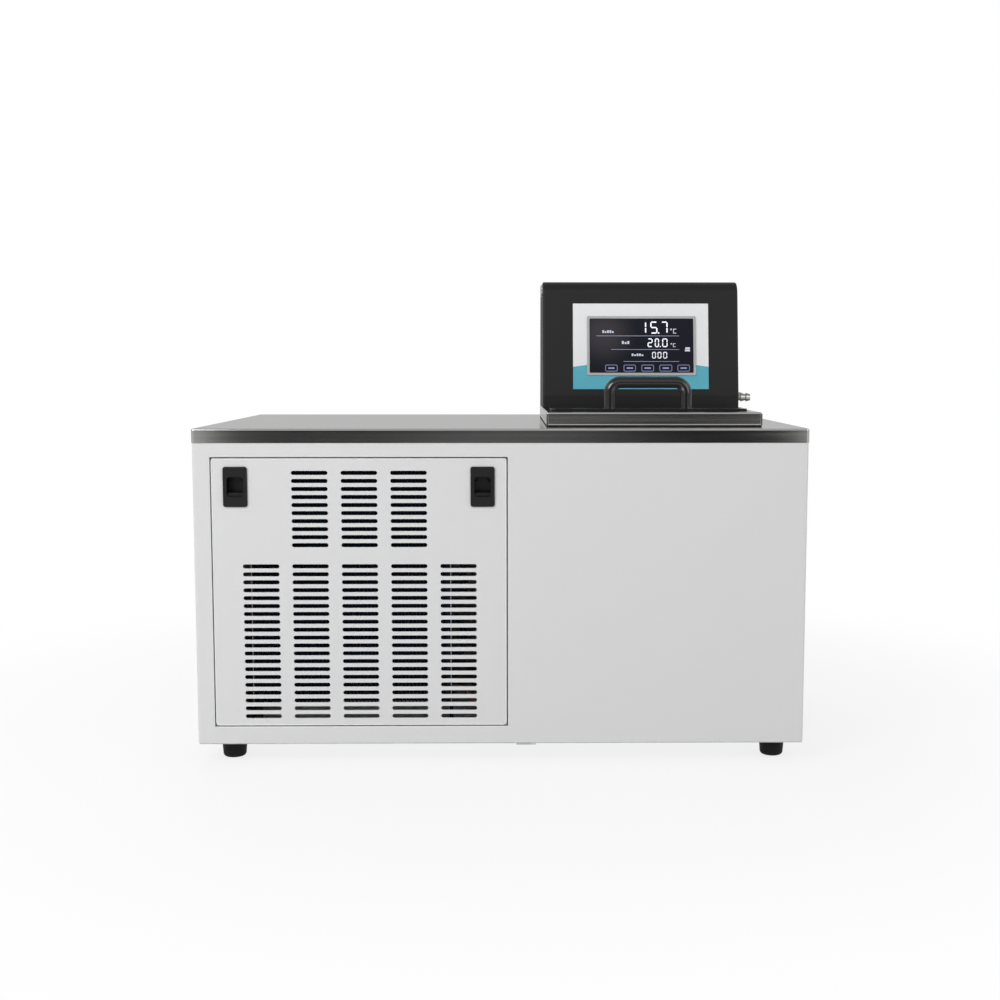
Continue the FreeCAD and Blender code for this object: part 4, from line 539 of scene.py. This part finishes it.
def small_words(bm):
    """Blocks for the words, the signs for degrees, and a small sign at the right."""
    word(bm, -56.1, -38.6, 91.2, 95.6, 5)
    word(bm, -27.6, -15.7, 74.8, 79.8, 3)
    word(bm, -13.4, 4.6, 57.3, 61.3, 5)
    for u, v, size in ((44.4, 97.0, 1.4), (44.6, 75.8, 1.1)):
        key_outline(bm, u - size, u + size, v - size, v + size, 0.6, size)
    boxes(bm, ((47.4, 48.5, 90.9, 97.9), (48.5, 52.0, 96.8, 97.9), (48.5, 52.0, 90.9, 92.0),
               (47.0, 47.9, 71.1, 76.4), (47.9, 50.9, 75.6, 76.4), (47.9, 50.9, 71.1, 71.9),
               (64.4, 71.8, 64.6, 67.4), (65.0, 71.8, 67.9, 70.6)))


def soft_lines(bm):
    """The rules between the rows."""
    boxes(bm, ((-65.0, 56.2, 87.0, 87.8), (-43.5, 56.0, 67.0, 67.7), (-25.2, 55.9, 49.4, 50.1)))


def key_row(bm):
    """The outlines of the five touch keys."""
    foot, top, line, corner = 34.9, 45.1, 0.8, 2.4
    for left, right in ((-52.3, -34.0), (-25.4, -7.3), (0.6, 19.1), (26.9, 45.7), (53.3, 71.5)):
        key_outline(bm, left, right, foot, top, line, corner)


def key_marks(bm):
    """A plain bar in each touch key."""
    half, foot, top = 4.6, 39.0, 41.0
    for middle in (-43.2, -16.3, 9.8, 36.3, 62.4):
        bar(bm, middle - half, middle + half, foot, top)


solid("display_readings", readings, lit("lit_white", (0.90, 0.92, 1.0), 0.5))
solid("display_words", small_words, lit("lit_pale", (0.55, 0.58, 0.70), 0.32))
solid("display_rules", soft_lines, lit("lit_grey_blue", (0.30, 0.32, 0.46), 0.22))
solid("display_keys", key_row, lit("lit_key_blue", (0.16, 0.18, 0.34), 0.25))
solid("display_key_marks", key_marks, lit("lit_mark_blue", (0.30, 0.34, 0.55), 0.25))


# Small things that ride on the solids

def islands(node):
    """The box of each separate solid in a node, in the object's frame, from left to right."""
    bm = bmesh.new()
    bm.from_mesh(nodes[node].data)
    bmesh.ops.remove_doubles(bm, verts=bm.verts, dist=1e-6)
    left, found = set(bm.verts), []
    while left:
        reach, group = [left.pop()], []
        while reach:
            vert = reach.pop()
            group.append(nodes[node].matrix_world @ vert.co)
            for edge in vert.link_edges:
                other = edge.other_vert(vert)
                if other in left:
                    left.remove(other)
                    reach.append(other)
        found.append((Vector([min(c[k] for c in group) for k in range(3)]),
                      Vector([max(c[k] for c in group) for k in range(3)])))
    bm.free()
    return sorted(found, key=lambda corners: tuple(corners[0]))


def box_of(node):
    """The two corners of a node's box, as vectors."""
    return [Vector(corner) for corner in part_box(node)]


def middle_of(node):
    """The middle of a node's box."""
    low, high = box_of(node)
    return (low + high) / 2


def axes_of(axis):
    """A unit axis and two directions square to it."""
    axis = Vector(axis).normalized()
    side = axis.cross(Vector((0, 0, 1)) if abs(axis.z) < 0.9 else Vector((1, 0, 0))).normalized()
    return axis, side, axis.cross(side)


def around(side, other, radius, step, steps):
    """One of the evenly spaced points on a circle, seen from its middle."""
    angle = 2 * math.pi * step / steps
    return (side * math.cos(angle) + other * math.sin(angle)) * radius * MM


def lathe(bm, origin, axis, profile, steps, ring=False):
    """A solid turned about an axis from radius and height pairs in millimetres; a ring's profile closes."""
    axis, side, other = axes_of(axis)
    rings = []
    for radius, height in profile:
        base = Vector(origin) + axis * height * MM
        if radius == 0:
            rings.append([bm.verts.new(base)] * steps)
        else:
            rings.append([bm.verts.new(base + around(side, other, radius, k, steps)) for k in range(steps)])
    following = rings[1:] + (rings[:1] if ring else [])
    for low, high in zip(rings, following):
        for k in range(steps):
            j = (k + 1) % steps
            corners = []
            for vert in (low[k], low[j], high[j], high[k]):
                if vert not in corners:
                    corners.append(vert)
            bm.faces.new(corners)


def hoop(bm, centre, axis, big, small, steps, sides=10):
    """A round wire bent into a ring."""
    profile = [(big + small * math.cos(2 * math.pi * n / sides), small * math.sin(2 * math.pi * n / sides))
               for n in range(sides)]
    lathe(bm, centre, axis, profile, steps, True)


def washer(bm, centre, axis, bore, outer, thick):
    """A flat ring whose outer edge is eased."""
    lift, eased, steps = 0.02, thick * 0.75, 40
    lathe(bm, centre, axis, [(bore, lift), (outer, lift), (outer, eased), (bore, thick)], steps, True)


def rod(bm, start, end, radius):
    """A round rod with eased ends."""
    reach = Vector(end) - Vector(start)
    length, ease, steps = reach.length / MM, radius * 0.3, 16
    lathe(bm, start, reach, [(0, 0), (radius - ease, 0), (radius, ease), (radius, length - ease),
                             (radius - ease, length), (0, length)], steps)


def brick(bm, low, high):
    """A box with slightly rounded edges."""
    low, high = Vector(low), Vector(high)
    made = bmesh.ops.create_cube(bm, size=1)["verts"]
    for vert in made:
        vert.co = Vector([(low[k] + high[k]) / 2 + vert.co[k] * (high[k] - low[k]) for k in range(3)])
    edges = list({edge for vert in made for edge in vert.link_edges})
    ease = 0.15 * min(high - low)
    bmesh.ops.bevel(bm, geom=edges, offset=ease, segments=2, profile=0.5, affect="EDGES")


def small_piece(name, build, material, body="cabinet"):
    """A piece whose round faces are shaded smoothly and whose sharp edges are kept."""
    piece = solid(name, build, material, body)
    mesh = piece.data
    sharpest = math.radians(35)
    mesh.polygons.foreach_set("use_smooth", [True] * len(mesh.polygons))
    mesh.set_sharp_from_angle(angle=sharpest)


# Sheet edges

def cover_hem(bm):
    """The rolled hem along the lower edge of the raised cover."""
    low, high = box_of("cover_tray")
    radius, sunk, ends, above_seal = 0.75, 0.25 * MM, 2 * MM, 0.95 * MM
    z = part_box("tray_gasket")[1][2] + above_seal
    rod(bm, (low.x + ends, low.y + sunk, z), (high.x - ends, low.y + sunk, z), radius)
    for x in (low.x + sunk, high.x - sunk):
        rod(bm, (x, low.y + ends, z), (x, high.y - ends, z), radius)


def cover_seams(bm):
    """The dark welded seams in the cover's two front corners."""
    low, high = box_of("cover_tray")
    radius, inside, below_top, above_seal = 0.95, 0.6 * MM, 1.7 * MM, 0.1 * MM
    y, foot, top = low.y + inside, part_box("tray_gasket")[1][2] + above_seal, high.z - below_top
    for x in (low.x + inside, high.x - inside):
        rod(bm, (x, y, foot), (x, y, top), radius)


def panel_hems(bm):
    """Rounded sheet edges at the front panel, and the one of the opening below it; their paler white is a
    painted highlight.
    """
    low, high = box_of("louvre_panel")
    radius, sunk, inside, ends = 0.7, 0.35 * MM, 0.6 * MM, 3.2 * MM
    panel_gap = 1.8 * MM
    y = low.y + sunk
    for x in (low.x + inside, high.x - inside):
        rod(bm, (x, y, low.z + ends), (x, y, high.z - ends), radius)
    for z in (low.z + inside, high.z - inside):
        rod(bm, (low.x + ends, y, z), (high.x - ends, y, z), radius)
    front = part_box("cabinet_shell")[0][1] + sunk
    below = low.z - panel_gap - inside
    rod(bm, (low.x + ends, front, below), (high.x - ends, front, below), radius)


small_piece("cover_hem", cover_hem, look["bright_steel"])
small_piece("cover_seams", cover_seams, look["bead"])
# The hems are finished in the paler white: painted highlight beside the panel's gap.
small_piece("panel_hems", panel_hems, look["painted_highlight_white"])


# Screws, latches, handle and button

def heads():
    """The outer face of each plain screw head at the rear."""
    for node in ("rear_screws", "hood_screws"):
        for low, high in islands(node):
            yield Vector(((low.x + high.x) / 2, high.y, (low.z + high.z) / 2))


def screw_crowns(bm):
    """Low domes on the screw heads."""
    dome, steps = [(0, 0), (3.9, 0), (3.5, 0.35), (2.6, 0.65), (1.4, 0.8), (0, 0.85)], 28
    for face in heads():
        lathe(bm, face, (0, 1, 0), dome, steps)


def screw_recess_shade(bm):
    """Black crosses on the screw heads: painted shade for their cross recesses."""
    long, narrow, bottom, top = 2.0 * MM, 0.45 * MM, 0.5 * MM, 0.9 * MM
    for face in heads():
        for wide, tall in ((long, narrow), (narrow, long)):
            brick(bm, face + Vector((-wide, bottom, -tall)), face + Vector((wide, top, tall)))


def thumb_ribs(node):
    """Grip ribs across the thumb piece of a latch."""
    low, high = box_of(node)
    count, first, pitch, thick, proud, inset = 3, 1.0 * MM, 1.1 * MM, 0.5 * MM, 0.35 * MM, 2 * MM

    def ribs(bm):
        for k in range(count):
            z = low.z + first + pitch * k
            brick(bm, (low.x + inset, low.y - proud, z), (high.x - inset, low.y + proud / 2, z + thick))
    return ribs


def handle_washers(bm):
    """A washer round the foot of each of the handle's legs."""
    low, high = box_of("lid_handle")
    leg = (high.y - low.y) / 2
    gap, wide, thick = 0.05, 1.2, 0.8
    for x in (low.x + leg, high.x - leg):
        washer(bm, (x, low.y + leg, low.z), (0, 0, 1), leg / MM + gap, leg / MM + wide, thick)


def button_ring(bm):
    """The dark ring between the button's collar and its cap."""
    radius, wire = 7.7, 0.45
    centre = middle_of("power_button_case")
    centre.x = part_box("power_button_case")[0][0]
    hoop(bm, centre, (1, 0, 0), radius, wire, 48, 8)


small_piece("screw_crowns", screw_crowns, look["bright_steel"])
# The black crosses paint the shade in the screws' recesses.
small_piece("screw_recess_shade", screw_recess_shade, look["black_plastic"])
for hand in ("left", "right"):
    ribs_of_hand = thumb_ribs("latch_slide_" + hand)
    small_piece("latch_ribs_" + hand, ribs_of_hand, look["black_plastic"], "latch_" + hand)
small_piece("handle_washers", handle_washers, look["black_gloss"])
small_piece("button_ring", button_ring, look["black_plastic"])


# Rear fittings

def nozzle_washers(bm):
    """Sealing washers round the flanges of both hose nozzles."""
    flange, wide, thick = 9.05, 0.85, 1.2
    for node in ("outlet_nozzle", "return_nozzle"):
        centre = middle_of(node)
        centre.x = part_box("control_hood")[1][0]
        washer(bm, centre, (1, 0, 0), flange, flange + wide, thick)


def inlet_contacts(bm):
    """Bright sleeves over the three blades in the inlet's well."""
    centre = middle_of("power_inlet")
    flange, half_wide, half_tall = 3 * MM, 1.12 * MM, 2.12 * MM
    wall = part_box("power_inlet")[1][1] - flange
    root, tip = wall - 15.6 * MM, wall - 4.3 * MM
    for across, up in ((-7, -2), (0, 2), (7, -2)):
        x, z = centre.x + across * MM, centre.z + up * MM
        brick(bm, (x - half_wide, root, z - half_tall), (x + half_wide, tip, z + half_tall))


# The drain valve's body, in millimetres
VALVE_RADIUS = 12.0


def valve_axis():
    """The foot of the drain valve's axis, at its inner end."""
    low, high = box_of("drain_valve")
    return Vector(((low.x + high.x) / 2, low.y, low.z + VALVE_RADIUS * MM))


def valve_rings(bm):
    """Two turned rings on the valve's body."""
    wire = 0.5
    for along in (9.5, 13.5):
        centre = valve_axis() + Vector((0, along * MM, 0))
        hoop(bm, centre, (0, 1, 0), VALVE_RADIUS, wire, 48, 8)


def pipe_grommet(bm):
    """Rubber edging where the drain leaves the rear wall."""
    over_valve, wire, proud = 0.6, 0.9, 0.2 * MM
    centre = valve_axis()
    centre.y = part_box("rear_panel")[1][1] + proud
    hoop(bm, centre, (0, 1, 0), VALVE_RADIUS + over_valve, wire, 48)


def lever_sleeve(bm):
    """A dipped grip over the outer half of the drain's lever."""
    low, high = box_of("drain_lever")
    thick, skin, bare_share = 3.3 * MM, 0.75 * MM, 0.52
    grip_start = low.x + (high.x - low.x) * bare_share
    brick(bm, (grip_start, low.y - skin, high.z - thick), (high.x + skin, high.y + skin, high.z + skin))


def stem_nut(bm):
    """The six-sided nut that holds the lever on its stem."""
    low, high = box_of("drain_lever")
    half = (high.y - low.y) / 2
    profile, flats = [(0, 0), (4.2, 0), (4.2, 2.6), (3.4, 3.2), (0, 3.2)], 6
    lathe(bm, (low.x + half, low.y + half, high.z), (0, 0, 1), profile, flats)


small_piece("nozzle_washers", nozzle_washers, look["rubber"])
small_piece("inlet_contacts", inlet_contacts, look["bright_steel"])
small_piece("valve_rings", valve_rings, look["brass"])
small_piece("pipe_grommet", pipe_grommet, look["rubber"])
small_piece("lever_sleeve", lever_sleeve, look["red_plastic"], "lever")
small_piece("stem_nut", stem_nut, look["brass"], "lever")


# Inside the cabinet

# The condenser's block of fins, and how far the return bends stand out from its end plates
COIL_HEIGHT = 312 * MM
BEND_REACH = 20 * MM


def fan_guard(bm):
    """A wire guard on the rear of the fan's shroud."""
    inner, outer, pitch, spokes, past, wire, seat = 46, 106, 12, 4, 2, 0.9, 0.7 * MM
    centre = middle_of("fan_rotor")
    centre.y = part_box("fan_shroud")[1][1] + seat
    for radius in range(inner, outer + 1, pitch):
        hoop(bm, centre, (0, 1, 0), radius, wire, 72, 8)
    for k in range(spokes):
        out = Vector((1, 0, 0)).lerp(Vector((0, 0, 1)), 0.5).normalized()
        out.rotate(Matrix.Rotation(math.pi / 2 * k, 3, "Y"))
        behind = centre + Vector((0, 2 * wire * MM, 0))
        rod(bm, behind + out * (inner - past) * MM, behind + out * (outer + past) * MM, wire)


def compressor_seam(bm):
    """The weld between the two halves of the compressor's shell."""
    shell_radius, wire = 66.3, 1.5
    centre = middle_of("compressor_grommets")
    centre.z = middle_of("compressor").z
    hoop(bm, centre, (0, 0, 1), shell_radius, wire, 80)


def braze_rings(bm):
    """Brazed sockets where the return bends enter the condenser's end plates."""
    low, high = box_of("condenser")
    bends, first, pitch = 6, 15 * MM, 44 * MM
    bore, outer, long = 4.05, 5.4, 3.8
    for k in range(bends):
        x, out = (low.x + BEND_REACH, -1) if k % 2 == 0 else (high.x - BEND_REACH, 1)
        for level in (k, k + 1):
            z = high.z - COIL_HEIGHT + first + pitch * level
            washer(bm, (x, (low.y + high.y) / 2, z), (out, 0, 0), bore, outer, long)


def plate_edges(bm):
    """The pale folded edges of the condenser's end plates, seen through the slots."""
    low, high = box_of("condenser")
    proud, plate, fin_end = 0.8 * MM, 1.4 * MM, 0.6 * MM
    for x in (low.x + BEND_REACH - plate + fin_end, high.x - BEND_REACH - fin_end):
        brick(bm, (x, low.y - proud, high.z - COIL_HEIGHT), (x + plate, low.y + proud / 2, high.z))


small_piece("fan_guard", fan_guard, look["bright_steel"])
small_piece("compressor_seam", compressor_seam, look["bead"])
small_piece("braze_rings", braze_rings, look["fins"])
small_piece("plate_edges", plate_edges, look["zinc"])


# Camera, floor and light

def aim(thing, yaw, pitch, roll):
    """Turns a camera that looks along +Y: right by yaw, down by pitch, and about its own axis by roll."""
    forward = Vector((math.sin(yaw) * math.cos(pitch), math.cos(yaw) * math.cos(pitch), -math.sin(pitch)))
    right = forward.cross(Vector((0, 0, 1))).normalized()
    up = right.cross(forward)
    turn = Matrix((right, up, -forward)).transposed()
    thing.rotation_euler = (turn @ Matrix.Rotation(roll, 3, "Z")).to_euler()


# The camera, fitted to the edges that the photograph shows
worktop_low, worktop_high = (Vector(c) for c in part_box("worktop"))
FOCAL_PIXELS = 1363.74
PICTURE_PIXELS = 1000.0
EYE_RIGHT = 5.56 * MM
EYE_BEFORE_WORKTOP = 1760.36 * MM
EYE_OVER_WORKTOP = 82.9 * MM
camera_data = bpy.data.cameras.new("camera")
camera_data.sensor_width = 36.0
camera_data.lens = FOCAL_PIXELS * camera_data.sensor_width / PICTURE_PIXELS
camera_data.shift_x = -0.02196
camera_data.clip_start = 0.05
camera = bpy.data.objects.new("camera", camera_data)
camera.location = (EYE_RIGHT, worktop_low.y - EYE_BEFORE_WORKTOP, worktop_high.z + EYE_OVER_WORKTOP)
aim(camera, yaw=0.0122, pitch=0.0994, roll=0.0003)
bpy.context.scene.collection.objects.link(camera)
bpy.context.scene.camera = camera


def lamp(name, place, target, wide, high, watts, mirrored=True):
    """A rectangular soft lamp; one that isn't mirrored gives light but no highlight."""
    data = bpy.data.lights.new(name, "AREA")
    data.shape = "RECTANGLE"
    data.size = wide
    data.size_y = high
    data.energy = watts
    lit_lamp = bpy.data.objects.new(name, data)
    lit_lamp.location = place
    lit_lamp.rotation_euler = (Vector(target) - Vector(place)).to_track_quat("-Z", "Y").to_euler()
    lit_lamp.visible_glossy = mirrored
    bpy.context.scene.collection.objects.link(lit_lamp)


lamp("key_light", place=(-1.5, -1.9, 1.7), target=(-0.2, 0, 0.35), wide=1.3, high=1.0, watts=28)
lamp("fill_light", place=(1.8, -1.6, 1.1), target=(0.3, 0, 0.3), wide=1.2, high=1.2, watts=7.5)
lamp("top_light", place=(0.0, 0.2, 2.6), target=(0, 0, 0.3), wide=2.4, high=1.6, watts=8, mirrored=False)
lamp("rear_light", place=(-0.5, 2.3, 2.7), target=(0, 0.2, 0.25), wide=1.5, high=1.0, watts=25,
     mirrored=False)

world = bpy.data.worlds.new("studio")
world.use_nodes = True
bpy.context.scene.world = world


def studio_world():
    """White to the eye and even all round; mirrors see it dark straight in front and pale elsewhere."""
    sky = Recipe("studio", world.node_tree)
    # The direction that is looked in: x to the right, y away from the viewer and z up
    x, y, z = sky.parts(sky.node("ShaderNodeTexCoord", {}, {}, "Generated"))
    eye = sky.rays("Is Camera Ray")
    mirror = sky.rays("Is Glossy Ray")
    through = sky.rays("Is Transmission Ray")
    in_front = (0 - y).smooth(0.0, 0.35)
    beside = abs(x - 0.0015).smooth(0.2065, 0.2245)
    ahead = in_front * (1 - beside) * (1 - z.smooth(0.04, 0.14))
    dim_right = x.smooth(0.02, 0.17) * 0.025
    lit_middle = (1 - abs(x).smooth(0.0, 0.14)) * 0.085
    dark_room = 0.045 - dim_right + lit_middle
    upper = z.smooth(0.05, 0.5) * 0.4
    lower = (1 - z.smooth(-0.12, 0.0)) * 0.35
    zenith = z.smooth(0.55, 0.9) * 0.5
    pale_room = 0.55 + upper + lower - zenith
    mirrored = pale_room * (1 - ahead) + dark_room * ahead
    plain = 1 - (eye + mirror + through).clamp()
    plain_level = 0.37
    strength = (eye + through).clamp() + mirror * (1 - eye) * mirrored + plain * plain_level
    background = sky.tree.nodes["Background"]
    background.inputs["Color"].default_value = (1, 1, 1, 1)
    sky.feed(background.inputs["Strength"], strength)


studio_world()


def floor_surface():
    """Pale floor: it keeps the object's shadow close by, and is white to the eye farther out."""
    m = Recipe("pale_floor")
    white_share, shadow_reach, white_reach = 0.8, 0.42, 1.2
    x, y, z = m.parts(m.place())
    mottle = m.noise(3, 4)
    m.finish(color=m.blend(mottle, (0.86, 0.86, 0.86), (0.89, 0.89, 0.89)), rough=0.7)
    seen = (m.rays("Is Camera Ray") + m.rays("Is Glossy Ray")).clamp()
    far = (x * x + y * y).power(0.5).smooth(shadow_reach, white_reach)
    white = m.node("ShaderNodeEmission")
    cover = seen * (far * (1 - white_share) + white_share)
    mixed = m.node("ShaderNodeMixShader", {}, {0: cover, 1: Wire(m, m.shader.outputs[0]), 2: white})
    m.feed(m.tree.nodes["Material Output"].inputs["Surface"], mixed)
    return m.material


FLOOR_RADIUS = 3.6
FLOOR_BELOW_FEET = 0.0002
floor_data = bpy.data.meshes.new("floor")
floor_bm = bmesh.new()
bmesh.ops.create_circle(floor_bm, cap_ends=True, segments=96, radius=FLOOR_RADIUS)
floor_bm.to_mesh(floor_data)
floor_bm.free()
floor_data.materials.append(floor_surface())
floor = bpy.data.objects.new("floor", floor_data)
floor.location.z = cad_box[0][2] - FLOOR_BELOW_FEET
bpy.context.scene.collection.objects.link(floor)

bpy.context.scene.view_settings.view_transform = "Standard"
